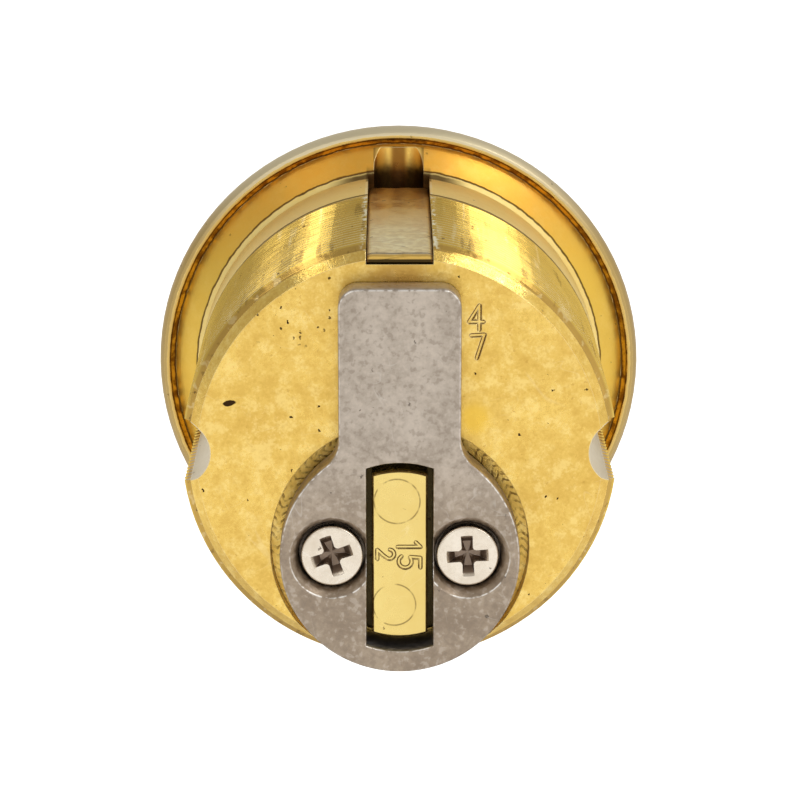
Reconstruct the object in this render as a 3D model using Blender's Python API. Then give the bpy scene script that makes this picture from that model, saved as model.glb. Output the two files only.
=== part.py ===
"""Mortise cylinder for a door lock: threaded brass shell with a plated head, a key plug with five
pin stacks, and a steel cam screwed to the plug's tongue.

Axes: the shell's axis is Y. The head, where the key goes in, is at +Y and the cam at -Y. The pin
stacks stand along +Z above the plug. The origin is on the shell's axis, in the plane of the
head's seat, the flat ring that meets the door furniture. All sizes are in metres.
"""

import bmesh
import bpy
from math import asin, atan2, cos, pi, radians, sin, sqrt
from mathutils import Vector

MM = 0.001

# Shell, from the head's seat (y = 0) back to the rear face
BODY_LENGTH = 25.85 * MM
THREAD_MAJOR_R = 14.60 * MM
THREAD_DEPTH = 0.46 * MM
THREAD_LENGTH = 17.50 * MM
REAR_CHAMFER = 1.05 * MM
NECK_STEP = 0.20 * MM
HEAD_THICKNESS = 2.72 * MM
HEAD_R = 17.83 * MM
HEAD_EDGE_ROUND = 1.60 * MM
HEAD_FLARE = 0.59 * MM
SEAT_WIDTH = 0.16 * MM
SEAT_RELIEF_WIDTH = 0.45 * MM
SEAT_RELIEF_DEPTH = 0.38 * MM
HEAD_CONE_DEPTH = 1.50 * MM
HEAD_CONE_STEP = 0.15 * MM

# Grooves for the lock case's set screw, at 3 and 9 o'clock
SCREW_GROOVE_R = 2.17 * MM
SCREW_GROOVE_DEPTH = 1.95 * MM
SCREW_GROOVE_RISE = 0.25 * MM
SCREW_GROOVE_STOP = 2.20 * MM

# Plug: its axis lies below the shell's, so that it just reaches the shell's axis
PLUG_R = 6.35 * MM
PLUG_CLEARANCE = 0.05 * MM
PLUG_DROP = 6.35 * MM
PLUG_SHOULDER_STEP = 0.75 * MM
PLUG_SHOULDER_DEPTH = 1.45 * MM
PLUG_REAR_PROUD = 0.10 * MM
PLUG_EDGE = 0.15 * MM

# Recess round the plug's rear end, in which the cam's hub turns
HUB_CLEARANCE = 0.90 * MM
RECESS_DEPTH = 1.20 * MM

# Tongue on the plug, which drives the cam
TONGUE_WIDTH = 3.70 * MM
TONGUE_END_STEP = 0.55 * MM
TONGUE_SUNK = 0.85 * MM
TONGUE_EDGE = 0.12 * MM

# Keyway
KEYWAY_TOP = 2.65 * MM
KEYWAY_WALL = 1.00 * MM
KEYWAY_WARD = 0.62 * MM
KEYWAY_LOW_WARD = -3.30 * MM
KEYWAY_HIGH_WARD = -0.55 * MM
KEYWAY_BEHIND_PINS = 2.30 * MM
KEYWAY_MOUTH = 0.35 * MM

# Pin stacks
PIN_COUNT = 5
FIRST_PIN = 5.87 * MM
PIN_SPACING = 3.96 * MM
PIN_R = 1.46 * MM
PIN_CLEARANCE = 0.06 * MM
SHEAR_GAP = 0.02 * MM
CHAMBER_SPARE = 1.695 * MM
CHAMBER_TIP = 0.90 * MM
PIN_TIP_R = 0.50 * MM
PIN_EDGE = 0.15 * MM
SHORTEST_PIN = 4.90 * MM
KEY_CUT_STEP = 0.381 * MM
KEY_CUTS = (2, 4, 1, 5, 3)
DRIVER_LENGTH = 4.80 * MM
SPRING_R = 1.20 * MM
SPRING_WIRE = 0.30 * MM
SPRING_TURNS = 7.0
SPRING_SEAT = 0.04 * MM

# Slot over the pin chambers and the strip that closes it
SLOT_WIDTH = 4.46 * MM
SLOT_DEPTH = 1.50 * MM
COVER_THICKNESS = 0.50 * MM
COVER_CLEARANCE = 0.06 * MM
COVER_LIFT = 0.10 * MM
COVER_END_GAP = 0.22 * MM
COVER_EDGE = 0.10 * MM
RUNOUT_WIDTH = 3.60 * MM
RUNOUT_BELOW_RELIEF = 0.28 * MM
RUNOUT_DEPTH = 0.75 * MM

# Cam
CAM_THICKNESS = 2.38 * MM
CAM_FACE_GAP = 0.08 * MM
CAM_DISC_R = 8.00 * MM
CAM_HUB_STEP = 0.20 * MM
CAM_SEAT_GAP = 0.02 * MM
CAM_EDGE = 0.14 * MM
FINGER_WIDTH = 8.10 * MM
FINGER_REACH = 18.30 * MM
FINGER_CORNER = 1.30 * MM
FINGER_FILLET = 2.30 * MM
CAM_SLOT_SIDE_CLEARANCE = 0.38 * MM
CAM_SLOT_END_CLEARANCE = 0.74 * MM

# Cam screws
SCREW_HOLE_WALL = 0.35 * MM
SCREW_HEAD_R = 2.05 * MM
SCREW_HEAD_HEIGHT = 1.25 * MM
SCREW_HEAD_SUNK = 0.42 * MM
SCREW_HEAD_ROUND = 0.22 * MM
SCREW_SHANK_R = 1.42 * MM
SCREW_CLEARANCE = 0.05 * MM
SCREW_DEPTH_IN_PLUG = 4.60 * MM
SCREW_TIP = 0.35 * MM
SCREW_SEAT_GAP = 0.02 * MM
COUNTERBORE_CLEARANCE = 0.18 * MM
COUNTERBORE_DISH = 0.57 * MM
COUNTERBORE_DISH_DEPTH = 0.95 * MM
RECESS_SPAN = 1.37 * MM
RECESS_ARM = 0.34 * MM
CROSS_DEPTH = 0.85 * MM
CROSS_TAPER = 0.45
LEFT_SCREW_TURN = radians(19)
RIGHT_SCREW_TURN = radians(3)

# Smoothness of round shapes
BODY_STEPS = 96
PLUG_STEPS = 64
SMALL_STEPS = 20
SPRING_STEPS = 10
WIRE_SIDES = 5

# Sizes and places that follow from those above
REAR_Y = -BODY_LENGTH
FACE_Y = HEAD_THICKNESS
THREAD_ROOT_R = THREAD_MAJOR_R - THREAD_DEPTH
SEAT_OUTER_R = HEAD_R - HEAD_FLARE
SEAT_INNER_R = SEAT_OUTER_R - SEAT_WIDTH
HEAD_CONE_R = SEAT_INNER_R - SEAT_RELIEF_WIDTH
SCREW_GROOVE_X = THREAD_MAJOR_R - SCREW_GROOVE_DEPTH + SCREW_GROOVE_R
PLUG_Z = -PLUG_DROP
PLUG_SHOULDER_R = PLUG_R + PLUG_SHOULDER_STEP
TONGUE_R = PLUG_R - TONGUE_END_STEP
CAM_HUB_R = CAM_DISC_R - CAM_HUB_STEP
RECESS_R = CAM_HUB_R + HUB_CLEARANCE
RECESS_FLOOR_Y = REAR_Y + RECESS_DEPTH
PLUG_REAR_Y = RECESS_FLOOR_Y - PLUG_REAR_PROUD
CAM_FRONT_Y = REAR_Y - CAM_THICKNESS
CAM_FINGER_BACK_Y = REAR_Y - CAM_FACE_GAP
CAM_HUB_BACK_Y = PLUG_REAR_Y - CAM_SEAT_GAP
TONGUE_END_Y = CAM_FRONT_Y + TONGUE_SUNK
SCREW_TOP_Y = CAM_FRONT_Y + SCREW_HEAD_SUNK
SCREW_SEAT_Y = SCREW_TOP_Y + SCREW_HEAD_HEIGHT
CHAMBER_R = PIN_R + PIN_CLEARANCE
SHEAR_Z = PLUG_Z + PLUG_R
DRIVER_FOOT_Z = PLUG_Z + PLUG_R + PLUG_CLEARANCE - SHEAR_GAP
CHAMBER_BOTTOM_Z = SHEAR_Z - SHORTEST_PIN - KEY_CUT_STEP * max(KEY_CUTS) - CHAMBER_SPARE
SLOT_FLOOR = THREAD_MAJOR_R - SLOT_DEPTH
COVER_UNDERSIDE_Z = SLOT_FLOOR + COVER_LIFT
COVER_TOP_Z = COVER_UNDERSIDE_Z + COVER_THICKNESS
SLOT_END_Y = -HEAD_CONE_DEPTH
SCREW_HOLE_R = SCREW_SHANK_R + SCREW_CLEARANCE
SCREW_SPREAD = PLUG_R - SCREW_HOLE_WALL - SCREW_HOLE_R
COUNTERBORE_R = SCREW_HEAD_R + COUNTERBORE_CLEARANCE
PIN_YS = [FACE_Y - FIRST_PIN - i * PIN_SPACING for i in range(PIN_COUNT)]
BEYOND = 1.0 * MM


# Scene and object helpers
def clear_scene():
    for obj in list(bpy.data.objects):
        bpy.data.objects.remove(obj, do_unlink=True)


def metal(name, colour, roughness, metallic=1.0):
    material = bpy.data.materials.new(name)
    material.use_nodes = True
    shader = material.node_tree.nodes["Principled BSDF"]
    shader.inputs["Base Color"].default_value = (*colour, 1.0)
    shader.inputs["Roughness"].default_value = roughness
    shader.inputs["Metallic"].default_value = metallic
    material.diffuse_color = (*colour, 1.0)
    return material


def brass():
    return metal("brass", (0.78, 0.57, 0.22), 0.28)


def satin_nickel():
    return metal("satin_nickel", (0.72, 0.69, 0.62), 0.34)


def cam_steel():
    return metal("cam_steel", (0.36, 0.35, 0.34), 0.55)


def screw_nickel():
    return metal("screw_nickel", (0.78, 0.76, 0.72), 0.25)


def pin_nickel_silver():
    return metal("pin_nickel_silver", (0.70, 0.66, 0.54), 0.25)


def spring_steel():
    return metal("spring_steel", (0.60, 0.60, 0.60), 0.30)


def finish(bm, name, material, origin, sharp=radians(35)):
    """Makes an object of bm, with its origin at this place in the world."""
    bmesh.ops.remove_doubles(bm, verts=bm.verts, dist=1e-8)
    bmesh.ops.recalc_face_normals(bm, faces=bm.faces)
    bmesh.ops.translate(bm, verts=bm.verts, vec=-Vector(origin))
    mesh = bpy.data.meshes.new(name)
    bm.to_mesh(mesh)
    bm.free()
    mesh.shade_smooth()
    mesh.set_sharp_from_angle(angle=sharp)
    obj = bpy.data.objects.new(name, mesh)
    obj.location = origin
    bpy.context.scene.collection.objects.link(obj)
    if material is not None:
        mesh.materials.append(material)
    return obj


def carry(child, parent):
    """Parents child so that it keeps its place."""
    place = child.location - parent.location
    child.parent = parent
    child.location = place


def boolean(obj, tool, operation):
    modifier = obj.modifiers.new(tool.name, "BOOLEAN")
    modifier.operation = operation
    modifier.solver = "EXACT"
    modifier.object = tool
    tool.hide_render = True
    tool.display_type = "WIRE"


def cut(obj, tool):
    boolean(obj, tool, "DIFFERENCE")


# Shape helpers
def turned(bm, profile, axis, centre, steps):
    """Turns a profile of (radius, distance along axis) points, which starts and ends on the axis."""
    along = Vector(axis)
    across = Vector((1, 0, 0))
    points = [Vector(centre) + along * d + across * r for r, d in profile]
    verts = [bm.verts.new(p) for p in points]
    edges = [bm.edges.new(pair) for pair in zip(verts, verts[1:])]
    bmesh.ops.spin(
        bm, geom=verts + edges, cent=centre, axis=axis, angle=2 * pi, steps=steps, use_merge=True
    )
    bmesh.ops.remove_doubles(bm, verts=bm.verts, dist=1e-8)


def rings(bm, loops):
    """Skins closed loops of equally many points, and caps both ends."""
    made = [[bm.verts.new(p) for p in loop] for loop in loops]
    count = len(made[0])
    for low, high in zip(made, made[1:]):
        for i in range(count):
            j = (i + 1) % count
            bm.faces.new((low[i], low[j], high[j], high[i]))
    bm.faces.new(made[0])
    bm.faces.new(made[-1])


def along_y(outline, y):
    return [(x, y, z) for x, z in outline]


def arc(cx, cy, r, start, end, steps):
    angles = [start + (end - start) * i / steps for i in range(steps + 1)]
    return [(cx + r * cos(a), cy + r * sin(a)) for a in angles]


def stepped_bore(name, x, z, levels, steps):
    """Cutter along Y, made of lengths that follow one another: start, end, radius and, if the
    length tapers, the radius at its end."""
    profile = [(0, levels[0][0])]
    for start, end, *radii in levels:
        profile += [(radii[0], start), (radii[-1], end)]
    profile.append((0, levels[-1][1]))
    bm = bmesh.new()
    turned(bm, profile, (0, 1, 0), (x, 0, z), steps)
    return finish(bm, name, None, (x, levels[0][0], z))


def round_corner(r, corner, start_y, steps):
    """A quarter circle from (r, start_y) that turns inwards as y grows."""
    turns = [pi / 2 * i / steps for i in range(1, steps + 1)]
    return [(r - corner * (1 - cos(t)), start_y + corner * sin(t)) for t in turns]


# Shell
def shell_profile():
    chamfer_root = REAR_CHAMFER - THREAD_DEPTH
    edge_start = HEAD_THICKNESS - HEAD_EDGE_ROUND
    points = [
        (0, REAR_Y),
        (THREAD_MAJOR_R - REAR_CHAMFER, REAR_Y),
        (THREAD_ROOT_R, REAR_Y + chamfer_root),
        (THREAD_ROOT_R, REAR_Y + THREAD_LENGTH),
        (THREAD_MAJOR_R, REAR_Y + THREAD_LENGTH + NECK_STEP),
        (THREAD_MAJOR_R, -HEAD_CONE_DEPTH - NECK_STEP),
        (THREAD_MAJOR_R + HEAD_CONE_STEP, -HEAD_CONE_DEPTH),
        (HEAD_CONE_R, SEAT_RELIEF_DEPTH),
        (SEAT_INNER_R, 0),
        (SEAT_OUTER_R, 0),
    ]
    for i in range(1, 4):
        turn = pi / 2 * i / 4
        points.append((SEAT_OUTER_R + HEAD_FLARE * sin(turn), edge_start * (1 - cos(turn))))
    points.append((HEAD_R, edge_start))
    points += round_corner(HEAD_R, HEAD_EDGE_ROUND, edge_start, 5)
    points.append((0, FACE_Y))
    return points


def slot_tool():
    """Slot over the chambers, from the rear face to the foot of the head's cone."""
    half = SLOT_WIDTH / 2
    outline = [(-half, SLOT_FLOOR), (half, SLOT_FLOOR), (half, HEAD_R), (-half, HEAD_R)]
    bm = bmesh.new()
    rings(bm, [along_y(outline, REAR_Y - BEYOND), along_y(outline, SLOT_END_Y)])
    return finish(bm, "slot_tool", None, (0, 0, SLOT_FLOOR))


def runout_tool():
    """Narrower run-out of the slot under the head, with the round end that an end mill leaves."""
    half = RUNOUT_WIDTH / 2
    top = HEAD_CONE_R - RUNOUT_BELOW_RELIEF
    outline = [(-half, REAR_Y / 2), (half, REAR_Y / 2)]
    outline += arc(0, RUNOUT_DEPTH - half, half, 0, pi, 14)
    bm = bmesh.new()
    rings(bm, [[(x, y, z) for x, y in outline] for z in (SLOT_FLOOR, top)])
    return finish(bm, "runout_tool", None, (0, 0, SLOT_FLOOR))


def set_screw_groove_tool(name, side):
    """Round-bottomed groove along the thread, with a ball end at the neck."""
    x = side * SCREW_GROOVE_X
    stop = -SCREW_GROOVE_STOP - SCREW_GROOVE_R
    profile = [(0, REAR_Y - BEYOND), (SCREW_GROOVE_R, REAR_Y - BEYOND), (SCREW_GROOVE_R, stop)]
    profile += round_corner(SCREW_GROOVE_R, SCREW_GROOVE_R, stop, 6)
    profile[-1] = (0, profile[-1][1])
    bm = bmesh.new()
    turned(bm, profile, (0, 1, 0), (x, 0, SCREW_GROOVE_RISE), SMALL_STEPS + 8)
    return finish(bm, name, None, (x, 0, SCREW_GROOVE_RISE))


def chamber_tool(name, bottom, tip, top):
    """Drilled pin chambers, one per stack, with a coned bottom if tip is over zero."""
    bm = bmesh.new()
    for y in PIN_YS:
        profile = [(0, bottom), (CHAMBER_R, bottom), (CHAMBER_R, top), (0, top)]
        if tip:
            profile[1:2] = [(PIN_TIP_R, bottom), (CHAMBER_R, bottom + tip)]
        turned(bm, profile, (0, 0, 1), (0, y, 0), SMALL_STEPS)
    return finish(bm, name, None, (0, 0, 0))


def plate(obj, material, behind):
    """Gives the faces that lie in front of this place a second material."""
    obj.data.materials.append(material)
    for face in obj.data.polygons:
        if (obj.location + face.center).y > behind:
            face.material_index = 1


def make_shell(material, plated):
    bm = bmesh.new()
    turned(bm, shell_profile(), (0, 1, 0), (0, 0, 0), BODY_STEPS)
    shell = finish(bm, "shell", material, (0, 0, 0), radians(28))
    plate(shell, plated, 0)
    shoulder_floor = FACE_Y - PLUG_SHOULDER_DEPTH - PLUG_CLEARANCE
    levels = [
        (REAR_Y - BEYOND, RECESS_FLOOR_Y, RECESS_R),
        (RECESS_FLOOR_Y, shoulder_floor, PLUG_R + PLUG_CLEARANCE),
        (shoulder_floor, FACE_Y + BEYOND, PLUG_SHOULDER_R + PLUG_CLEARANCE),
    ]
    cut(shell, stepped_bore("plug_bore_tool", 0, PLUG_Z, levels, PLUG_STEPS))
    cut(shell, slot_tool())
    cut(shell, runout_tool())
    cut(shell, set_screw_groove_tool("groove_tool_left", -1))
    cut(shell, set_screw_groove_tool("groove_tool_right", 1))
    cut(shell, chamber_tool("shell_chamber_tool", PLUG_Z, 0, SLOT_FLOOR + BEYOND))
    return shell


# Strip that closes the chambers
def make_chamber_cover(material):
    half = SLOT_WIDTH / 2 - COVER_CLEARANCE
    low, high, edge = COVER_UNDERSIDE_Z, COVER_TOP_Z, COVER_EDGE
    outline = [(-half, low), (half, low), (half, high - edge), (half - edge, high)]
    outline += [(edge - half, high), (-half, high - edge)]
    rear = REAR_Y + COVER_END_GAP
    front = SLOT_END_Y - COVER_CLEARANCE
    bm = bmesh.new()
    rings(bm, [along_y(outline, rear), along_y(outline, front)])
    return finish(bm, "chamber_cover", material, (0, (rear + front) / 2, low))


# Plug
def tongue_outline(inset):
    """Round-ended tongue section in X and Z: straight sides cut from a disc."""
    half = TONGUE_WIDTH / 2 - inset
    r = TONGUE_R - inset
    lean = asin(half / r)
    top = arc(0, PLUG_Z, r, pi / 2 - lean, pi / 2 + lean, 6)
    bottom = arc(0, PLUG_Z, r, 3 * pi / 2 - lean, 3 * pi / 2 + lean, 6)
    return top + bottom


def make_tongue_tool():
    """Tongue, which reaches back from inside the plug's rear end."""
    bm = bmesh.new()
    root = PLUG_REAR_Y + BEYOND
    loops = [
        along_y(tongue_outline(0), root),
        along_y(tongue_outline(0), TONGUE_END_Y + TONGUE_EDGE),
        along_y(tongue_outline(TONGUE_EDGE), TONGUE_END_Y),
    ]
    rings(bm, loops)
    return finish(bm, "tongue_tool", None, (0, PLUG_REAR_Y, PLUG_Z))


def keyway_outline(widen):
    """Warded slot, open at the plug's underside. widen grows it all round, for the mouth."""
    wall = KEYWAY_WALL / 2 + widen
    ward = KEYWAY_WARD
    low = PLUG_Z + KEYWAY_LOW_WARD
    high = PLUG_Z + KEYWAY_HIGH_WARD
    top = PLUG_Z + KEYWAY_TOP + widen
    bottom = PLUG_Z - PLUG_SHOULDER_R - BEYOND
    slope = ward / 2
    return [
        (ward / 2 - wall, bottom),
        (ward / 2 + wall, bottom),
        (ward / 2 + wall, low),
        (wall - ward / 2, low + slope),
        (wall - ward / 2, high - slope),
        (wall + ward / 4, high),
        (wall + ward / 4, top),
        (ward / 4 - wall, top),
        (-wall - ward / 2, high + slope),
        (-wall - ward / 2, low),
        (ward / 2 - wall, low - slope),
    ]


def keyway_tool():
    end = PIN_YS[-1] - KEYWAY_BEHIND_PINS
    bm = bmesh.new()
    rings(bm, [along_y(keyway_outline(0), end), along_y(keyway_outline(0), FACE_Y + BEYOND)])
    return finish(bm, "keyway_tool", None, (0, FACE_Y, PLUG_Z))


def keyway_mouth_tool():
    """Small lead-in round the keyway's mouth."""
    bm = bmesh.new()
    loops = [
        along_y(keyway_outline(0), FACE_Y - KEYWAY_MOUTH),
        along_y(keyway_outline(KEYWAY_MOUTH), FACE_Y),
        along_y(keyway_outline(KEYWAY_MOUTH), FACE_Y + BEYOND),
    ]
    rings(bm, loops)
    return finish(bm, "keyway_mouth_tool", None, (0, FACE_Y, PLUG_Z))


def make_plug(material, plated):
    shoulder_back = FACE_Y - PLUG_SHOULDER_DEPTH
    edge = PLUG_EDGE
    profile = [
        (0, PLUG_REAR_Y),
        (PLUG_R - edge, PLUG_REAR_Y),
        (PLUG_R, PLUG_REAR_Y + edge),
        (PLUG_R, shoulder_back),
        (PLUG_SHOULDER_R, shoulder_back),
        (PLUG_SHOULDER_R, FACE_Y - edge),
        (PLUG_SHOULDER_R - edge, FACE_Y),
        (0, FACE_Y),
    ]
    bm = bmesh.new()
    turned(bm, profile, (0, 1, 0), (0, 0, PLUG_Z), PLUG_STEPS)
    plug = finish(bm, "plug", material, (0, 0, PLUG_Z), radians(28))
    plate(plug, plated, FACE_Y - edge)
    boolean(plug, make_tongue_tool(), "UNION")
    cut(plug, keyway_tool())
    cut(plug, keyway_mouth_tool())
    cut(plug, chamber_tool("plug_chamber_tool", CHAMBER_BOTTOM_Z, CHAMBER_TIP, SHEAR_Z + BEYOND))
    hole_floor = PLUG_REAR_Y + SCREW_DEPTH_IN_PLUG + 2 * SCREW_TIP
    for side, name in ((-1, "plug_screw_hole_tool_left"), (1, "plug_screw_hole_tool_right")):
        x = side * SCREW_SPREAD
        levels = [(PLUG_REAR_Y - BEYOND, hole_floor, SCREW_HOLE_R)]
        cut(plug, stepped_bore(name, x, PLUG_Z, levels, SMALL_STEPS))
    return plug


# Cam
def cam_outline(inset):
    """Disc and finger in X and Z, with the fillets between them, counterclockwise from the left."""
    disc = CAM_DISC_R - inset
    half = FINGER_WIDTH / 2 - inset
    fillet = FINGER_FILLET + inset
    corner = FINGER_CORNER - inset
    tip = PLUG_Z + FINGER_REACH - inset
    fillet_x = half + fillet
    fillet_z = sqrt((disc + fillet) ** 2 - fillet_x**2)
    turn = atan2(fillet_z, fillet_x)
    points = arc(0, PLUG_Z, disc, pi - turn, 2 * pi + turn, 48)
    points += arc(fillet_x, PLUG_Z + fillet_z, fillet, pi + turn, pi, 6)[1:]
    points += arc(half - corner, tip - corner, corner, 0, pi / 2, 6)
    points += arc(corner - half, tip - corner, corner, pi / 2, pi, 6)
    points += arc(-fillet_x, PLUG_Z + fillet_z, fillet, 0, -turn, 6)[:-1]
    return points


def cam_slot_outline():
    half = TONGUE_WIDTH / 2 + CAM_SLOT_SIDE_CLEARANCE
    r = TONGUE_R + CAM_SLOT_END_CLEARANCE
    lean = asin(half / r)
    top = arc(0, PLUG_Z, r, pi / 2 - lean, pi / 2 + lean, 8)
    bottom = arc(0, PLUG_Z, r, 3 * pi / 2 - lean, 3 * pi / 2 + lean, 8)
    return top + bottom


def cam_slot_tool():
    bm = bmesh.new()
    front = CAM_FRONT_Y - BEYOND
    rings(bm, [along_y(cam_slot_outline(), front), along_y(cam_slot_outline(), CAM_HUB_BACK_Y + BEYOND)])
    return finish(bm, "cam_slot_tool", None, (0, CAM_FRONT_Y, PLUG_Z))


def make_cam(material):
    """Flat finger and disc, with a hub behind the disc that turns in the shell's recess."""
    bm = bmesh.new()
    loops = [
        along_y(cam_outline(CAM_EDGE), CAM_FRONT_Y),
        along_y(cam_outline(0), CAM_FRONT_Y + CAM_EDGE),
        along_y(cam_outline(0), CAM_FINGER_BACK_Y - CAM_EDGE),
        along_y(cam_outline(CAM_EDGE), CAM_FINGER_BACK_Y),
    ]
    rings(bm, loops)
    cam = finish(bm, "cam", material, (0, 0, PLUG_Z))
    hub_root = CAM_FINGER_BACK_Y - CAM_THICKNESS / 2
    hub = stepped_bore("cam_hub_tool", 0, PLUG_Z, [(hub_root, CAM_HUB_BACK_Y, CAM_HUB_R)], PLUG_STEPS)
    boolean(cam, hub, "UNION")
    cut(cam, cam_slot_tool())
    floor = SCREW_SEAT_Y + SCREW_SEAT_GAP
    dish_floor = CAM_FRONT_Y + COUNTERBORE_DISH_DEPTH
    dish_r = COUNTERBORE_R + COUNTERBORE_DISH
    levels = [
        (CAM_FRONT_Y - BEYOND, CAM_FRONT_Y, dish_r),
        (CAM_FRONT_Y, dish_floor, dish_r, COUNTERBORE_R),
        (dish_floor, floor, COUNTERBORE_R),
        (floor, CAM_HUB_BACK_Y + BEYOND, SCREW_HOLE_R),
    ]
    for side, name in ((-1, "counterbore_tool_left"), (1, "counterbore_tool_right")):
        cut(cam, stepped_bore(name, side * SCREW_SPREAD, PLUG_Z, levels, SMALL_STEPS + 12))
    return cam


# Cam screws
def cross_outline(scale, turn, x):
    """Cross recess outline: four arms round the screw's axis."""
    span = RECESS_SPAN * scale
    arm = RECESS_ARM * scale
    points = []
    for quarter in range(4):
        a = turn + quarter * pi / 2
        for along, across in ((span, -arm), (span, arm), (arm * 1.5, arm * 1.5)):
            points.append((x + along * cos(a) - across * sin(a), PLUG_Z + along * sin(a) + across * cos(a)))
    return points


def make_cam_screw(name, material, side, turn):
    x = side * SCREW_SPREAD
    tip = PLUG_REAR_Y + SCREW_DEPTH_IN_PLUG
    edge = SCREW_HEAD_ROUND
    profile = [(0, SCREW_TOP_Y), (SCREW_HEAD_R - 2 * edge, SCREW_TOP_Y)]
    for i in range(1, 4):
        a = pi / 2 * i / 4
        profile.append((SCREW_HEAD_R - 2 * edge * (1 - sin(a)), SCREW_TOP_Y + edge * (1 - cos(a))))
    profile += [
        (SCREW_HEAD_R, SCREW_TOP_Y + edge),
        (SCREW_HEAD_R, SCREW_SEAT_Y),
        (SCREW_SHANK_R, SCREW_SEAT_Y),
        (SCREW_SHANK_R, tip - SCREW_TIP),
        (SCREW_SHANK_R - SCREW_TIP, tip),
        (0, tip),
    ]
    bm = bmesh.new()
    turned(bm, profile, (0, 1, 0), (x, 0, PLUG_Z), SMALL_STEPS + 8)
    screw = finish(bm, name, material, (x, SCREW_TOP_Y, PLUG_Z))
    bm = bmesh.new()
    mouth = along_y(cross_outline(1, turn, x), SCREW_TOP_Y)
    above = along_y(cross_outline(1, turn, x), SCREW_TOP_Y - BEYOND)
    floor = along_y(cross_outline(CROSS_TAPER, turn, x), SCREW_TOP_Y + CROSS_DEPTH)
    rings(bm, [above, mouth, floor])
    cut(screw, finish(bm, name + "_cross_tool", None, (x, SCREW_TOP_Y, PLUG_Z)))
    return screw


# Pin stacks
def make_bottom_pin(index, material):
    """Key pin: coned foot for the key's cut, and a head rounded like the plug."""
    length = SHORTEST_PIN + KEY_CUT_STEP * KEY_CUTS[index]
    top = SHEAR_Z - SHEAR_GAP
    foot = top - length
    profile = [(0, foot), (PIN_TIP_R - PIN_CLEARANCE, foot), (PIN_R, foot + CHAMBER_TIP)]
    steps = 3
    for i in range(steps + 1):
        r = PIN_R * (1 - i / steps)
        profile.append((r, top - PLUG_R + sqrt(PLUG_R**2 - r**2)))
    bm = bmesh.new()
    turned(bm, profile, (0, 0, 1), (0, PIN_YS[index], 0), SMALL_STEPS)
    return finish(bm, f"bottom_pin_{index + 1}", material, (0, PIN_YS[index], foot))


def make_driver_pin(index, material):
    """Driver: a plain pin with broken edges, which the spring pushes down."""
    foot = DRIVER_FOOT_Z
    top = foot + DRIVER_LENGTH
    edge = PIN_EDGE
    profile = [(0, foot), (PIN_R - edge, foot), (PIN_R, foot + edge)]
    profile += [(PIN_R, top - edge), (PIN_R - edge, top), (0, top)]
    bm = bmesh.new()
    turned(bm, profile, (0, 0, 1), (0, PIN_YS[index], 0), SMALL_STEPS)
    return finish(bm, f"driver_pin_{index + 1}", material, (0, PIN_YS[index], foot))


def spring_centre(t, low, high):
    """Centre of the wire at t from 0 to 1: closed coils at both ends, open ones between."""
    turns = SPRING_TURNS * t
    closed = 1.0
    open_turns = SPRING_TURNS - 2 * closed
    coil = SPRING_WIRE * 1.08
    rise = high - low - 2 * closed * coil
    z = low + coil * min(turns, closed) + coil * max(0, turns - closed - open_turns)
    z += rise * min(max((turns - closed) / open_turns, 0), 1)
    r = SPRING_R - SPRING_WIRE / 2
    return r * cos(2 * pi * turns), r * sin(2 * pi * turns), z


def make_spring(index, material):
    """Wire swept along the coil, from the driver's top to the cover strip."""
    low = DRIVER_FOOT_Z + DRIVER_LENGTH + SPRING_SEAT + SPRING_WIRE / 2
    high = COVER_UNDERSIDE_Z - SPRING_SEAT - SPRING_WIRE / 2
    steps = int(SPRING_TURNS * SPRING_STEPS)
    loops = []
    for i in range(steps + 1):
        t = i / steps
        x, y, z = spring_centre(t, low, high)
        out = Vector((x, y, 0)).normalized()
        loop = []
        for k in range(WIRE_SIDES):
            a = 2 * pi * k / WIRE_SIDES
            side = out * cos(a) + Vector((0, 0, sin(a)))
            loop.append(Vector((x, y + PIN_YS[index], z)) + side * (SPRING_WIRE / 2))
        loops.append(loop)
    bm = bmesh.new()
    rings(bm, loops)
    return finish(bm, f"spring_{index + 1}", material, (0, PIN_YS[index], high), radians(80))


def main():
    clear_scene()
    bright = brass()
    plated = satin_nickel()
    steel = cam_steel()
    screw_metal = screw_nickel()
    pin_metal = pin_nickel_silver()
    wire = spring_steel()
    shell = make_shell(bright, plated)
    carry(make_chamber_cover(plated), shell)
    plug = make_plug(bright, plated)
    carry(make_cam(steel), plug)
    carry(make_cam_screw("cam_screw_left", screw_metal, -1, LEFT_SCREW_TURN), plug)
    carry(make_cam_screw("cam_screw_right", screw_metal, 1, RIGHT_SCREW_TURN), plug)
    for index in range(PIN_COUNT):
        carry(make_bottom_pin(index, bright), plug)
        carry(make_driver_pin(index, pin_metal), shell)
        carry(make_spring(index, wire), shell)


main()
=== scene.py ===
"""Mortise cylinder seen from its cam end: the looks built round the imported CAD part.

Metres, in the part's own frame: the shell's axis is Y with the cam at -Y, and the pin stacks stand
along +Z. The cam, screws, strip, springs and thread are made here in finer detail; the shell and
the plug are the CAD solids with their stamped digits cut in.
"""
from math import asin, atan2, cos, pi, radians, sin, sqrt, tan

import bmesh
import bpy
from mathutils import Matrix, Vector, noise


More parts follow.
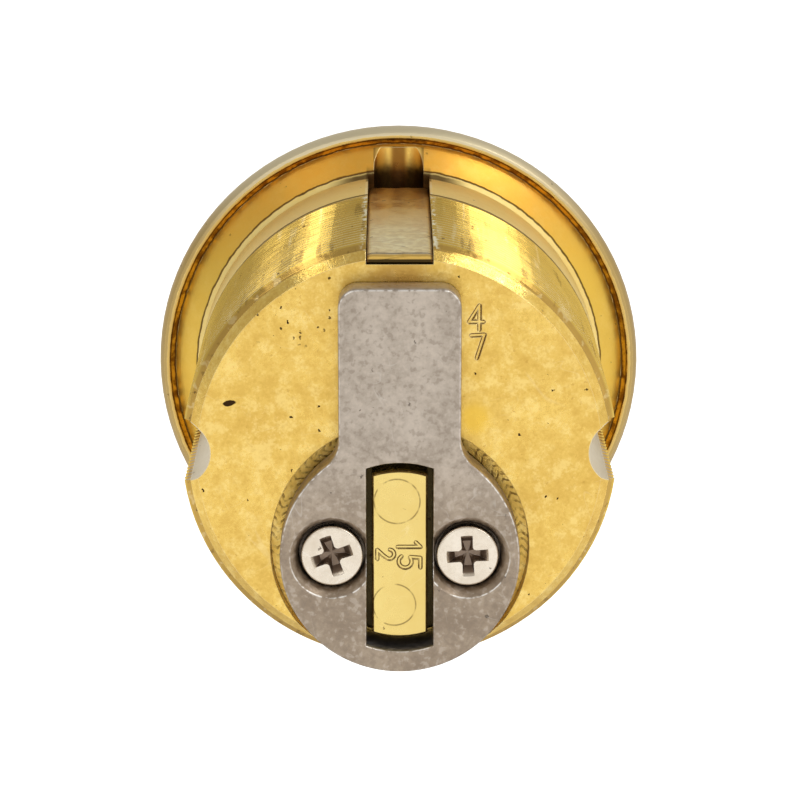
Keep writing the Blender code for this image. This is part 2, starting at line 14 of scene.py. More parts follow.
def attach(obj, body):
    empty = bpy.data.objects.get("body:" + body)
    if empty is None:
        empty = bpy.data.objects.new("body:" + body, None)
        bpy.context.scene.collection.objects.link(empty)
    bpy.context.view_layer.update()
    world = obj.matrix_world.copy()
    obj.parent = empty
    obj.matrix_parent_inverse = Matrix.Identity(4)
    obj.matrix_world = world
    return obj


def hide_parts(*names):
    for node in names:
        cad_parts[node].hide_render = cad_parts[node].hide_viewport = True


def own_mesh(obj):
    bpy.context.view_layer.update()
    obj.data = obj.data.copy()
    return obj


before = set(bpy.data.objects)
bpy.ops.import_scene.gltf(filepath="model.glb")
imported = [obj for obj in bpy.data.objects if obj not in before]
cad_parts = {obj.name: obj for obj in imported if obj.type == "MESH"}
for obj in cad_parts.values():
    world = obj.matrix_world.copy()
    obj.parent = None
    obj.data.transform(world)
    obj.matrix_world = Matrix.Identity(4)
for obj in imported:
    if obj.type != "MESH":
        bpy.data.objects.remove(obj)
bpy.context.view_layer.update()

MM = 0.001

# Sizes repeated from the part
REAR_Y = -25.85 * MM
THREAD_MAJOR_R = 14.60 * MM
THREAD_ROOT_R = 14.14 * MM
THREAD_LENGTH = 17.50 * MM
THREAD_PITCH = 25.4 / 32 * MM
THREAD_END_Y = REAR_Y + THREAD_LENGTH
SEAT_OUTER_R = 17.24 * MM
SEAT_INNER_R = 17.08 * MM
HEAD_CONE_R = 16.63 * MM
CONE_FOOT_Y = -1.50 * MM
NECK_TOP_Y = CONE_FOOT_Y + 0.20 * MM
REAR_CHAMFER = 1.05 * MM
SLOT_WIDTH = 4.46 * MM
GROOVE_X = 14.82 * MM
GROOVE_R = 2.17 * MM
GROOVE_Z = 0.25 * MM
PLUG_Z = -6.35 * MM
RECESS_R = 8.70 * MM
RECESS_FLOOR_Y = -24.65 * MM
TONGUE_END_Y = -27.38 * MM
TONGUE_WIDTH = 3.70 * MM
TONGUE_R = 5.80 * MM
CAM_FRONT_Y = -28.23 * MM
CAM_FINGER_BACK_Y = -25.93 * MM
CAM_HUB_BACK_Y = -24.77 * MM
CAM_DISC_R = 8.00 * MM
CAM_HUB_R = 7.80 * MM
FINGER_WIDTH = 8.10 * MM
FINGER_REACH = 18.30 * MM
FINGER_CORNER = 1.30 * MM
FINGER_FILLET = 2.30 * MM
SCREW_SPREAD = 4.53 * MM
SCREW_TOP_Y = -27.81 * MM
SCREW_SEAT_Y = -26.56 * MM
SCREW_HEAD_R = 2.05 * MM
SCREW_SHANK_R = 1.42 * MM
SCREW_TIP_Y = -20.15 * MM
COUNTERBORE_R = 2.23 * MM
DISH_R = 2.80 * MM
DISH_DEPTH = 0.95 * MM
SCREW_HOLE_R = 1.47 * MM
SPRING_LOW = 4.87 * MM
SPRING_HIGH = 13.16 * MM
SPRING_R = 1.20 * MM
SPRING_WIRE = 0.30 * MM
PIN_YS = [(-3.15 - 3.96 * i) * MM for i in range(5)]

# Sizes of what is made here alone
TONGUE_SIDE_GAP = 0.38 * MM
TONGUE_END_GAP = 0.74 * MM
CROSS_REACH = 1.37 * MM
CROSS_ARM = 0.37 * MM
STRIP_BOTTOM = 13.20 * MM
STRIP_TOP = 13.70 * MM
STRIP_SIDE_GAP = 0.06 * MM
RUNOUT_HALF = 1.84 * MM
CHEVRON_R = 8.25 * MM
CHEVRON_STEP = 0.55 * MM
BEYOND_REAR_Y = -30 * MM
INSIDE_PLATE_Y = -27 * MM
PAST_HUB_Y = -24 * MM
TRIM = 0.005 * MM
# A stamped stroke is a round-bottomed groove whose centre line lies this far off the face
DIGIT_R = 0.185 * MM
DIGIT_LIFT = 0.085 * MM


# Shader building helpers. Those without a tree argument find it through a socket that they are given.
def add(tree, kind, sockets=None, **settings):
    """Adds a node. sockets gives its inputs by name or number, as values or as other nodes' outputs."""
    made = tree.nodes.new(kind)
    for name, value in settings.items():
        setattr(made, name, value)
    for name, value in (sockets or {}).items():
        if isinstance(value, bpy.types.NodeSocket):
            tree.links.new(value, made.inputs[name])
        else:
            made.inputs[name].default_value = value
    return made


def maths(operation, *values, clamp=False):
    tree = next(value.id_data for value in values if isinstance(value, bpy.types.NodeSocket))
    made = add(tree, "ShaderNodeMath", dict(enumerate(values)), operation=operation, use_clamp=clamp)
    return made.outputs[0]


def chain(operation, values, clamp=False):
    """Joins the values by one operation, from the left. clamp keeps the last result in 0..1."""
    result = values[0]
    for index, value in enumerate(values[1:], 2):
        result = maths(operation, result, value, clamp=clamp and index == len(values))
    return result


def times(*values, clamp=False):
    return chain("MULTIPLY", values, clamp)


def plus(*values, clamp=False):
    return chain("ADD", values, clamp)


def highest(*values):
    return chain("MAXIMUM", values)


def minus(first, second):
    return maths("SUBTRACT", first, second)


def absolute(value):
    return maths("ABSOLUTE", value)


def total(*terms):
    """Sum of values, each given with its weight."""
    return plus(*(times(value, weight) for value, weight in terms))


def span(value, low, high, out_low=0.0, out_high=1.0):
    """Carries value from low..high to out_low..out_high along a smooth step."""
    sockets = {"Value": value, "From Min": low, "From Max": high, "To Min": out_low, "To Max": out_high}
    return add(value.id_data, "ShaderNodeMapRange", sockets, interpolation_type="SMOOTHSTEP").outputs["Result"]


def fall(value, low, high):
    """1 below low, 0 above high."""
    return span(value, low, high, 1.0, 0.0)


def within(value, low, high, soft):
    """Mask of the values between low and high, with soft ends."""
    return times(span(value, low - soft, low + soft), fall(value, high - soft, high + soft))


def mix(factor, first, second):
    """Blends two colours, each a socket or red, green and blue."""
    first, second = ((*colour, 1.0) if isinstance(colour, tuple) else colour for colour in (first, second))
    sockets = {0: factor, 6: first, 7: second}
    return add(factor.id_data, "ShaderNodeMix", sockets, data_type="RGBA").outputs[2]


def paint(ground, layers):
    """Lays colours over the ground one after another, each through its mask."""
    for mask, colour in layers:
        ground = mix(mask, ground, colour)
    return ground


def parts(vector):
    return add(vector.id_data, "ShaderNodeSeparateXYZ", {0: vector}).outputs


def flat_normal(tree):
    return add(tree, "ShaderNodeNewGeometry").outputs["Normal"]


def stretched(vector, factors):
    return add(vector.id_data, "ShaderNodeVectorMath", {0: vector, 1: factors}, operation="MULTIPLY").outputs[0]


def leaning(first, second):
    """Dot product of two directions."""
    made = add(first.id_data, "ShaderNodeVectorMath", {0: first, 1: second}, operation="DOT_PRODUCT")
    return made.outputs["Value"]


def from_line(across, along, centre=(0.0, 0.0)):
    """Distance of two coordinates from a point, in metres."""
    sockets = {0: minus(across, centre[0]), 1: minus(along, centre[1])}
    flat = add(across.id_data, "ShaderNodeCombineXYZ", sockets).outputs[0]
    return add(across.id_data, "ShaderNodeVectorMath", {0: flat}, operation="LENGTH").outputs["Value"]


def grain(where, scale, detail):
    sockets = {"Vector": where, "Scale": scale, "Detail": detail}
    return add(where.id_data, "ShaderNodeTexNoise", sockets).outputs["Fac"]


def group(name, inputs, outputs):
    """An empty node group: its tree, inner inputs and inner outputs.

    inputs gives the value of each number, or None for a vector. The outputs are numbers.
    """
    tree = bpy.data.node_groups.new(name, "ShaderNodeTree")
    for label, value in inputs.items():
        kind = "NodeSocketVector" if value is None else "NodeSocketFloat"
        socket = tree.interface.new_socket(label, in_out="INPUT", socket_type=kind)
        if value is not None:
            socket.default_value = value
    for label in outputs:
        tree.interface.new_socket(label, in_out="OUTPUT", socket_type="NodeSocketFloat")
    return tree, tree.nodes.new("NodeGroupInput").outputs, tree.nodes.new("NodeGroupOutput").inputs


def use(shared, **sockets):
    """Outputs of a shared effect. Its first input has to be a socket."""
    tree = next(iter(sockets.values())).id_data
    return add(tree, "ShaderNodeGroup", sockets, node_tree=shared).outputs


# Shared effects
def make_lathe_marks():
    """Fine rings left by turning about the Y axis, on flat faces and on round ones."""
    tree, given, out = group("lathe_marks", {"Vector": None, "Spacing": 0.1 * MM, "Waviness": 0.3},
                             ("Height", "Streaks"))
    part = parts(given["Vector"])
    place = plus(from_line(part["X"], part["Z"]), times(part["Y"], 1.3))
    shift = times(minus(grain(given["Vector"], 260.0, 2.0), 0.5), given["Waviness"])
    line = plus(maths("DIVIDE", place, given["Spacing"]), shift)
    for name, along, detail in (("Height", line, 3.0), ("Streaks", times(line, 0.13), 2.0)):
        made = add(tree, "ShaderNodeTexNoise", {"W": along, "Scale": 1.0, "Detail": detail},
                   noise_dimensions="1D")
        tree.links.new(made.outputs["Fac"], out[name])
    return tree


def make_scratches():
    """Thin broken lines in two directions, as handling leaves them."""
    tree, given, out = group("scratches", {"Vector": None, "Scale": 300.0, "Amount": 0.5, "Turn": 0.4},
                             ("Mask",))
    found = []
    for index, turn in enumerate((0.0, 1.35)):
        bend = add(tree, "ShaderNodeVectorRotate", {"Vector": given["Vector"], "Axis": (0.15, 1.0, 0.2),
                                                    "Angle": plus(given["Turn"], turn)}).outputs[0]
        lines = add(tree, "ShaderNodeTexNoise", {"Vector": stretched(bend, (1.0, 1.0, 0.045)),
                                                 "Scale": given["Scale"], "Detail": 1.0, "Distortion": 0.4})
        thin = fall(absolute(minus(lines.outputs["Fac"], 0.5 + 0.02 * index)), 0.0, 0.006)
        here = span(grain(bend, times(given["Scale"], 0.9), 2.0), 0.52, 0.62)
        found.append(times(thin, here))
    tree.links.new(times(highest(*found), given["Amount"], clamp=True), out["Mask"])
    return tree


def make_pits():
    """Sparse small dark pits of mixed sizes."""
    tree, given, out = group("pits", {"Vector": None, "Scale": 900.0, "Amount": 0.5}, ("Mask",))
    warp = add(tree, "ShaderNodeTexNoise", {"Vector": given["Vector"], "Scale": times(given["Scale"], 2.5)})
    push = add(tree, "ShaderNodeVectorMath", {0: warp.outputs["Color"], "Scale": 0.35 * MM}, operation="SCALE")
    place = add(tree, "ShaderNodeVectorMath", {0: given["Vector"], 1: push.outputs[0]})
    cells = add(tree, "ShaderNodeTexVoronoi", {"Vector": place.outputs[0], "Scale": given["Scale"]})
    chance = add(tree, "ShaderNodeSeparateColor", {0: cells.outputs["Color"]}).outputs
    size = times(span(chance["Red"], minus(1.0, given["Amount"]), 1.0), 0.34)
    tree.links.new(span(minus(size, cells.outputs["Distance"]), 0.0, 0.06), out["Mask"])
    return tree


def make_patina():
    """Soft uneven staining at two scales."""
    tree, given, out = group("patina", {"Vector": None, "Scale": 150.0, "Contrast": 1.0}, ("Fac",))
    terms = []
    for scale, detail, rough, weight in ((given["Scale"], 4.0, 0.6, 0.65),
                                         (times(given["Scale"], 6.0), 3.0, 0.7, 0.35)):
        sockets = {"Vector": given["Vector"], "Scale": scale, "Detail": detail, "Roughness": rough}
        terms.append((add(tree, "ShaderNodeTexNoise", sockets).outputs["Fac"], weight))
    spread = times(minus(total(*terms), 0.5), given["Contrast"], 2.2)
    tree.links.new(plus(spread, 0.5, clamp=True), out["Fac"])
    return tree


def make_edge_light():
    """How far a rounded normal leans from the flat one: high along an edge."""
    tree, given, out = group("edge_light", {"Rounded": None, "Flat": None}, ("Mask",))
    tree.links.new(fall(leaning(given["Rounded"], given["Flat"]), 0.9, 0.995), out["Mask"])
    return tree


LATHE = make_lathe_marks()
SCRATCHES = make_scratches()
PITS = make_pits()
PATINA = make_patina()
EDGE = make_edge_light()


def stains(where, scale, contrast):
    return use(PATINA, Vector=where, Scale=scale, Contrast=contrast)["Fac"]


def scratches(where, scale, amount, turn):
    return use(SCRATCHES, Vector=where, Scale=scale, Amount=amount, Turn=turn)["Mask"]


def specks(where, scale, amount):
    return use(PITS, Vector=where, Scale=scale, Amount=amount)["Mask"]


def new_material(name, roughness, colour):
    """A metal with its tree and Object coordinates."""
    material = bpy.data.materials.new(name)
    material.use_nodes = True
    tree = material.node_tree
    shader = tree.nodes["Principled BSDF"]
    shader.inputs["Metallic"].default_value = 1.0
    shader.inputs["Roughness"].default_value = roughness
    shader.inputs["Base Color"].default_value = (*colour, 1.0)
    material.diffuse_color = (*colour, 1.0)
    return material, tree, add(tree, "ShaderNodeTexCoord").outputs["Object"]


def coat(material, colour, roughness, height, strength, depth, normal):
    """Joins colour, roughness and bump to the material's shader. Gives the material back."""
    tree = material.node_tree
    bump = add(tree, "ShaderNodeBump",
               {"Height": height, "Strength": strength, "Distance": depth, "Normal": normal})
    shader = tree.nodes["Principled BSDF"].inputs
    for name, value in (("Base Color", colour), ("Roughness", roughness), ("Normal", bump.outputs[0])):
        tree.links.new(value, shader[name])
    return material


def edges_of(tree, radius):
    """Rounded normal of the edges and a mask of where they are."""
    rounded = add(tree, "ShaderNodeBevel", {"Radius": radius}, samples=6).outputs[0]
    return rounded, use(EDGE, Rounded=rounded, Flat=flat_normal(tree))["Mask"]


def occlusion_shade(tree, distance, low, high):
    """Mask of sheltered corners, found by ambient occlusion: where painted shade goes."""
    open_air = add(tree, "ShaderNodeAmbientOcclusion", {"Distance": distance}, samples=8).outputs["AO"]
    return fall(open_air, low, high)


# Materials of this cylinder
BRASS_BRIGHT = (0.86, 0.60, 0.155)
BRASS_DULL = (0.74, 0.48, 0.11)
# dark brown for dirt, and for painted shade in nooks and corners
BRASS_DIRT_AND_SHADE = (0.10, 0.045, 0.012)
# dark brass for painted shade and painted dark reflections
BRASS_SHADE = (0.42, 0.22, 0.05)
BRASS_CONE_SIDE = (0.86, 0.56, 0.09)
BRASS_CONE_TOP = (0.93, 0.46, 0.06)
BRASS_LINE = (0.95, 0.80, 0.45)
NICKEL = (0.78, 0.67, 0.47)
FACE_NICKEL = (0.60, 0.56, 0.49)


def chevrons(x, z, noise_value):
    """Tool marks across the floor of the cam's recess."""
    turn = maths("ARCTAN2", minus(z, PLUG_Z), x)
    across = absolute(minus(from_line(x, z, (0.0, PLUG_Z)), CHEVRON_R))
    place = plus(times(turn, CHEVRON_R / CHEVRON_STEP), times(across, 1.6 / MM), times(noise_value, 1.2))
    mark = fall(maths("FRACT", place), 0.30, 0.50)
    return times(mark, span(noise_value, 0.36, 0.56))


def aside_of(x, z):
    """How far from the slot's middle. The slot is on the upper side only: all below counts as far."""
    return plus(absolute(x), span(z, -1 * MM, 0.0, 0.1, 0.0))


def shell_brass():
    material, tree, where = new_material("turned_brass", 0.3, BRASS_BRIGHT)
    x, y, z = parts(where)
    facing = parts(flat_normal(tree))
    rounded, edge = edges_of(tree, 0.09 * MM)
    stain = stains(where, 190.0, 1.3)
    mottle = grain(where, 2600.0, 4.0)
    turning = use(LATHE, Vector=where, Spacing=0.09 * MM, Waviness=0.8)
    marks = scratches(where, 420.0, 0.8, 0.5)
    dots = specks(where, 2700.0, 0.035)
    dense = specks(where, 2500.0, 0.30)
    wear = grain(where, 1400.0, 3.0)
    ragged = times(minus(wear, 0.5), 0.16 * MM)

    radius = from_line(x, z)
    ragged_radius = plus(radius, ragged)
    ragged_y = plus(y, ragged)
    on_rear = fall(y, REAR_Y + 0.02 * MM, REAR_Y + 0.05 * MM)
    from_finger = from_line(x, z, (-7.0 * MM, 11.0 * MM))
    dense_here = times(dense, fall(from_finger, 2.0 * MM, 4.6 * MM))
    # one large slanting pit on the left
    wedge = from_line(plus(x, times(z, -0.5)), times(z, 2.0), (-13.19 * MM, 7.40 * MM))
    big = fall(plus(wedge, times(wear, 0.5 * MM)), 0.66 * MM, 0.74 * MM)
    pits = highest(times(highest(big, dense_here), on_rear),
                   times(dots, span(on_rear, 0.0, 1.0, 0.4, 1.0)))

    # where the cone, the relief groove, the seat and the plating are
    cone = times(within(y, CONE_FOOT_Y, 0.5 * MM, 0.02 * MM),
                 fall(radius, HEAD_CONE_R, HEAD_CONE_R + 0.04 * MM))
    behind_head = within(y, -0.1 * MM, 0.45 * MM, 0.02 * MM)
    relief = times(behind_head, within(radius, HEAD_CONE_R, SEAT_INNER_R, 0.02 * MM))
    groove_line = times(behind_head,
                        within(ragged_radius, HEAD_CONE_R - 0.03 * MM, HEAD_CONE_R + 0.10 * MM, 0.03 * MM))
    seat_line = times(behind_head,
                      within(ragged_radius, SEAT_INNER_R - 0.13 * MM, SEAT_INNER_R - 0.04 * MM, 0.03 * MM))
    neck = times(within(y, THREAD_END_Y + 0.1 * MM, NECK_TOP_Y, 0.02 * MM),
                 span(radius, THREAD_ROOT_R - 0.05 * MM, THREAD_ROOT_R - 0.02 * MM))
    chamfer = times(within(facing["Y"], -0.80, -0.60, 0.02),
                    within(y, REAR_Y + 0.02 * MM, REAR_Y + 1.1 * MM, 0.01 * MM))
    seat = times(within(radius, SEAT_INNER_R, SEAT_OUTER_R, 0.02 * MM),
                 within(y, -0.1 * MM, 0.03 * MM, 0.01 * MM))
    aside = aside_of(x, z)
    runout = times(within(y, CONE_FOOT_Y - 0.1 * MM, 1.0 * MM, 0.03 * MM),
                   fall(aside, RUNOUT_HALF - 0.02 * MM, RUNOUT_HALF + 0.02 * MM),
                   fall(radius, 16.42 * MM, 16.46 * MM))
    # the run-out painted with bright stripes at its sides and a dark middle: painted reflections of a concave
    # wall
    runout_highlight = within(aside, 0.55 * MM, 1.66 * MM, 0.22 * MM)
    # its lower part painted near black: painted shadow
    runout_foot_shadow = times(fall(plus(z, times(ragged, 4.0)), 14.35 * MM, 15.25 * MM),
                        within(y, -3.0 * MM, 1.0 * MM, 0.3 * MM), fall(aside, 2.24 * MM, 2.45 * MM))
    # pale broken line along the slot's cheeks: painted glint
    cheek_glint = times(within(aside, 2.2 * MM, 2.40 * MM, 0.03 * MM),
                       fall(y, -3.4 * MM, -3.1 * MM), span(z, 13.95 * MM, 14.05 * MM),
                       span(wear, 0.35, 0.6), minus(1.0, on_rear))
    # dark band on the rear face above the finger's tip: painted reflection of the finger's dark side
    finger_reflection = times(on_rear,
                    fall(plus(from_line(times(x, 0.42), z, (0.0, 12.4 * MM)), times(ragged, 3.0)),
                         0.35 * MM, 1.3 * MM))
    # orange patch on the rear face beside the finger: painted reflection
    rub_and_sheen = times(on_rear, fall(from_line(x, z, (5.0 * MM, 2.6 * MM)), 0.5 * MM, 1.5 * MM))
    foot_line = within(ragged_y, NECK_TOP_Y - 0.05 * MM, NECK_TOP_Y + 0.07 * MM, 0.03 * MM)
    neck_line = within(y, THREAD_END_Y + 0.17 * MM, THREAD_END_Y + 0.42 * MM, 0.04 * MM)
    near_slot = fall(aside, 3.0 * MM, 5.5 * MM)
    slot_foot = times(near_slot,
                      within(ragged_y, CONE_FOOT_Y - 0.55 * MM, CONE_FOOT_Y + 0.10 * MM, 0.10 * MM))
    rim = times(span(ragged_radius, SEAT_OUTER_R, SEAT_OUTER_R + 0.05 * MM), span(y, -0.05 * MM, 0.0))
    groove = from_line(absolute(x), z, (GROOVE_X, GROOVE_Z))
    in_groove = times(fall(groove, GROOVE_R + 0.02 * MM, GROOVE_R + 0.05 * MM),
                      fall(radius, THREAD_MAJOR_R - 0.08 * MM, THREAD_MAJOR_R - 0.03 * MM))
    # dark lines along the head's corners, the neck's ends and the slot's foot: painted shade in those corners
    lines = times(highest(groove_line, seat_line, foot_line, neck_line, slot_foot), minus(1.0, in_groove))
    plated = highest(rim, times(in_groove, fall(y, -2.3 * MM, -2.15 * MM)), span(y, 1.0 * MM, 1.1 * MM))
    recess = times(within(y, RECESS_FLOOR_Y - 0.06 * MM, RECESS_FLOOR_Y + 0.1 * MM, 0.02 * MM),
                   fall(from_line(x, z, (0.0, PLUG_Z)), RECESS_R - 0.01 * MM, RECESS_R))

    blotches = stains(where, 900.0, 1.6)
    flecks = specks(where, 3600.0, 0.10)
    # the cone painted more orange towards its top: painted reflection of the barrel below it
    cone_with_reflection = mix(span(z, 6 * MM, 15 * MM), BRASS_CONE_SIDE, BRASS_CONE_TOP)
    # the plated rim painted darker and browner towards the bottom: painted shade
    rim_shaded = mix(span(z, 8 * MM, 17 * MM), (0.50, 0.35, 0.13), (0.76, 0.66, 0.44))
    open_face = highest(recess, times(cone, 0.6))
    # painted shade in sheltered nooks, less of it on the recess floor and the cone
    nook_shade = times(occlusion_shade(tree, 0.55 * MM, 0.15, 0.55), minus(0.8, open_face), clamp=True)
    tooled = times(chevrons(x, z, wear), recess, span(z, -13 * MM, -5 * MM, 0.15, 0.8),
                   span(mottle, 0.36, 0.52, 0.35, 1.0))
    stamped = times(span(facing["Y"], -0.975, -0.90),
                    within(y, REAR_Y + 0.003 * MM, REAR_Y + 0.2 * MM, 0.002 * MM),
                    fall(radius, 11.8 * MM, 12.2 * MM))
    # pale line along the edges: painted highlight
    edge_highlight = times(edge, minus(0.6, times(lines, 0.6)))
    ground = mix(stain, BRASS_DULL, BRASS_BRIGHT)
    ground = paint(ground, (
        (span(blotches, 0.45, 0.9, 0.0, 0.55), (0.97, 0.74, 0.27)),
        (span(blotches, 0.10, 0.48, 0.5, 0.0), (0.66, 0.41, 0.085)),
        (span(mottle, 0.50, 0.72, 0.0, 0.35), (0.62, 0.38, 0.075)),
        (times(flecks, 0.35), (0.45, 0.22, 0.04)),
        (times(marks, 0.22), (0.95, 0.78, 0.42)),
        # cone in its brass, with the painted reflection at its top
        (times(cone, span(stain, 0.0, 1.0, 1.0, 0.75)), cone_with_reflection),
        # relief groove: ragged dark brown, painted shade in the groove
        (relief, mix(span(wear, 0.35, 0.62), (0.20, 0.10, 0.02), (0.66, 0.42, 0.08))),
        (seat, (0.66, 0.45, 0.14)),
        (neck, mix(stain, (0.92, 0.70, 0.24), (1.0, 0.80, 0.34))),
        # run-out: painted reflections
        (runout, mix(runout_highlight, BRASS_SHADE, (1.0, 0.66, 0.16))),
        # painted shadow at the run-out's foot
        (times(runout_foot_shadow, 0.9), (0.07, 0.03, 0.012)),
        # painted glint on the slot's cheeks
        (times(cheek_glint, 0.8), (1.0, 0.86, 0.52)),
        # painted reflection of the finger
        (times(finger_reflection, 0.65), BRASS_SHADE),
        # painted reflection beside the finger
        (times(rub_and_sheen, 0.8), (0.82, 0.52, 0.07)),
        (plated, NICKEL),
        (rim, rim_shaded),
        (span(y, 1.6 * MM, 2.5 * MM), FACE_NICKEL),
        # painted shade along the corners
        (times(lines, 0.85), BRASS_DIRT_AND_SHADE),
        (nook_shade, BRASS_DIRT_AND_SHADE),
        (tooled, (0.14, 0.075, 0.02)),
        (times(stamped, 0.75), (0.16, 0.075, 0.015)),
        (pits, (0.05, 0.025, 0.01)),
        (edge_highlight, BRASS_LINE),
    ))
    rough = plus(span(stain, 0.2, 0.9, 0.34, 0.24), times(plated, 0.08), times(neck, 0.22), times(cone, 0.06),
                 times(chamfer, -0.14), times(highest(pits, lines), 0.3), clamp=True)
    height = total((turning["Height"], 0.5), (turning["Streaks"], 0.5), (mottle, 0.6), (marks, -0.3),
                   (blotches, 0.8), (tooled, -1.5), (pits, -3.0))
    return coat(material, ground, rough, height, 0.35, 0.02 * MM, rounded)


def thread_brass():
    material, tree, where = new_material("thread_brass", 0.3, BRASS_BRIGHT)
    x, y, z = parts(where)
    stain = stains(where, 260.0, 1.2)
    turning = use(LATHE, Vector=where, Spacing=0.06 * MM, Waviness=1.2)
    dots = specks(where, 2300.0, 0.06)
    # painted shade in sheltered nooks
    nook_shade = occlusion_shade(tree, 0.35 * MM, 0.25, 0.75)
    drag = grain(stretched(where, (1.0, 0.07, 1.0)), 1500.0, 2.0)
    rub_and_sheen = span(drag, 0.60, 0.68)
    dull = fall(drag, 0.30, 0.38)
    # the flanks painted darker towards the root: painted shade between the turns
    depth = fall(from_line(x, z), THREAD_MAJOR_R - 0.20 * MM, THREAD_MAJOR_R - 0.04 * MM)
    aside = aside_of(x, z)
    # cream sparkles on the ridge beside the slot: painted glints
    slot_edge_glints = times(fall(aside, 2.30 * MM, 2.75 * MM), span(grain(where, 2300.0, 2.0), 0.50, 0.60))
    ground = mix(stain, (0.60, 0.40, 0.085), (0.74, 0.52, 0.125))
    ground = paint(ground, (
        (times(depth, 0.55), (0.40, 0.22, 0.06)),
        (times(nook_shade, 0.4), BRASS_DIRT_AND_SHADE),
        (times(dull, 0.40), BRASS_DIRT_AND_SHADE),
        (times(rub_and_sheen, 0.3), BRASS_LINE),
        (slot_edge_glints, (1.0, 0.93, 0.66)),
        (times(dots, 0.7), BRASS_DIRT_AND_SHADE),
    ))
    height = plus(turning["Height"], times(fall(aside, 2.6 * MM, 4.6 * MM), drag))
    return coat(material, ground, span(stain, 0.2, 0.9, 0.11, 0.06), height, 0.15, 0.012 * MM,
                flat_normal(tree))


def plug_brass():
    material, tree, where = new_material("plug_brass", 0.28, BRASS_BRIGHT)
    x, y, z = parts(where)
    facing = parts(flat_normal(tree))
    rounded, edge = edges_of(tree, 0.07 * MM)
    stain = stains(where, 210.0, 1.0)
    marks = scratches(where, 500.0, 0.7, 1.1)
    dots = specks(where, 2300.0, 0.05)
    rag = grain(where, 1100.0, 3.0)
    # painted shade in sheltered nooks
    nook_shade = occlusion_shade(tree, 0.5 * MM, 0.12, 0.5)
    on_end = fall(y, TONGUE_END_Y + 0.03 * MM, TONGUE_END_Y + 0.06 * MM)
    # two thin circles that a tool left on the tongue's end
    traces = [fall(absolute(minus(from_line(x, z, place), r)), 0.02 * MM, 0.07 * MM)
              for place, r in (((-0.18 * MM, -2.67 * MM), 1.53 * MM), ((-0.37 * MM, -9.88 * MM), 1.44 * MM))]
    circles = times(highest(*traces), on_end, span(rag, 0.36, 0.56))
    # dirt on the sloping sides of the stamped digits, and a ragged line along the tongue's edges
    sloping = times(span(facing["Y"], -0.975, -0.90),
                    within(y, TONGUE_END_Y + 0.004 * MM, TONGUE_END_Y + 0.2 * MM, 0.003 * MM),
                    span(rag, 0.30, 0.50, 0.4, 1.0))
    border = times(span(plus(absolute(x), times(rag, 0.34 * MM)), 1.93 * MM, 2.00 * MM), on_end)
    # the plug's sides deep in the cam's slot painted near black: painted shadow
    inner_shadow = within(y, TONGUE_END_Y + 0.45 * MM, -24.5 * MM, 0.25 * MM)
    ground = mix(stain, (0.80, 0.585, 0.185), (0.84, 0.665, 0.245))
    ground = paint(ground, (
        (times(marks, 0.5), (0.93, 0.76, 0.40)),
        (span(y, 2.3 * MM, 2.4 * MM), FACE_NICKEL),
        (times(circles, 0.6), BRASS_DIRT_AND_SHADE),
        (times(nook_shade, 0.7), BRASS_DIRT_AND_SHADE),
        (highest(times(sloping, 0.85), times(border, 0.7)), BRASS_DIRT_AND_SHADE),
        (dots, BRASS_DIRT_AND_SHADE),
        # pale line along the edges: painted highlight
        (times(edge, 0.2), BRASS_LINE),
        (times(inner_shadow, 0.94), (0.018, 0.012, 0.008)),
    ))
    height = total((stain, 0.3), (circles, -2.0), (marks, -0.5))
    return coat(material, ground, span(stain, 0.2, 0.9, 0.34, 0.22), height, 0.4, 0.02 * MM, rounded)


def cam_steel():
    material, tree, where = new_material("cam_steel", 0.42, (0.46, 0.405, 0.345))
    z = parts(where)["Z"]
    rounded, edge = edges_of(tree, 0.10 * MM)
    stain = stains(where, 420.0, 2.2)
    grit = grain(where, 2600.0, 5.0)
    marks = scratches(where, 520.0, 0.9, 0.2)
    dots = specks(where, 2500.0, 0.05)
    # painted shade in sheltered nooks, less on walls that face up
    nook_shade = occlusion_shade(tree, 0.6 * MM, 0.15, 0.60)
    # the finger painted lighter and the disc darker and warmer: painted light falling from above
    finger_lit = span(z, -6 * MM, 3 * MM)
    disc = mix(stain, (0.30, 0.235, 0.175), (0.41, 0.33, 0.25))
    finger = mix(stain, (0.41, 0.35, 0.29), (0.54, 0.47, 0.40))
    facing = parts(flat_normal(tree))
    # walls low on the cam that face up painted paler grey: painted light from above
    upward_lit = times(span(facing["Z"], 0.80, 0.95), fall(z, -12.0 * MM, -11.5 * MM))
    # pale line along the edges and rolled rims, broken up and strongest where they face up: painted highlight
    rolled = within(facing["Y"], -0.97, -0.72, 0.02)
    broken = times(span(grit, 0.40, 0.56), span(facing["Z"], -0.15, 0.35, 0.15, 1.0))
    edge = times(highest(edge, rolled), broken)
    ground = mix(finger_lit, disc, finger)
    ground = paint(ground, (
        (span(grit, 0.52, 0.68, 0.0, 0.45), (0.62, 0.54, 0.46)),
        (span(grit, 0.34, 0.48, 0.45, 0.0), (0.25, 0.20, 0.155)),
        (times(dots, 0.7), (0.10, 0.085, 0.07)),
        (times(marks, 0.35), (0.66, 0.61, 0.55)),
        (times(nook_shade, minus(0.8, times(upward_lit, 0.6))), (0.04, 0.036, 0.033)),
        (times(upward_lit, 0.6), (0.56, 0.57, 0.62)),
        (times(edge, 0.8), (0.90, 0.87, 0.82)),
    ))
    rough = plus(span(grit, 0.3, 0.7, 0.36, 0.5), times(edge, -0.16))
    height = total((grit, 0.7), (stain, 1.0), (marks, -0.6), (dots, -1.0))
    return coat(material, ground, rough, height, 0.5, 0.02 * MM, rounded)


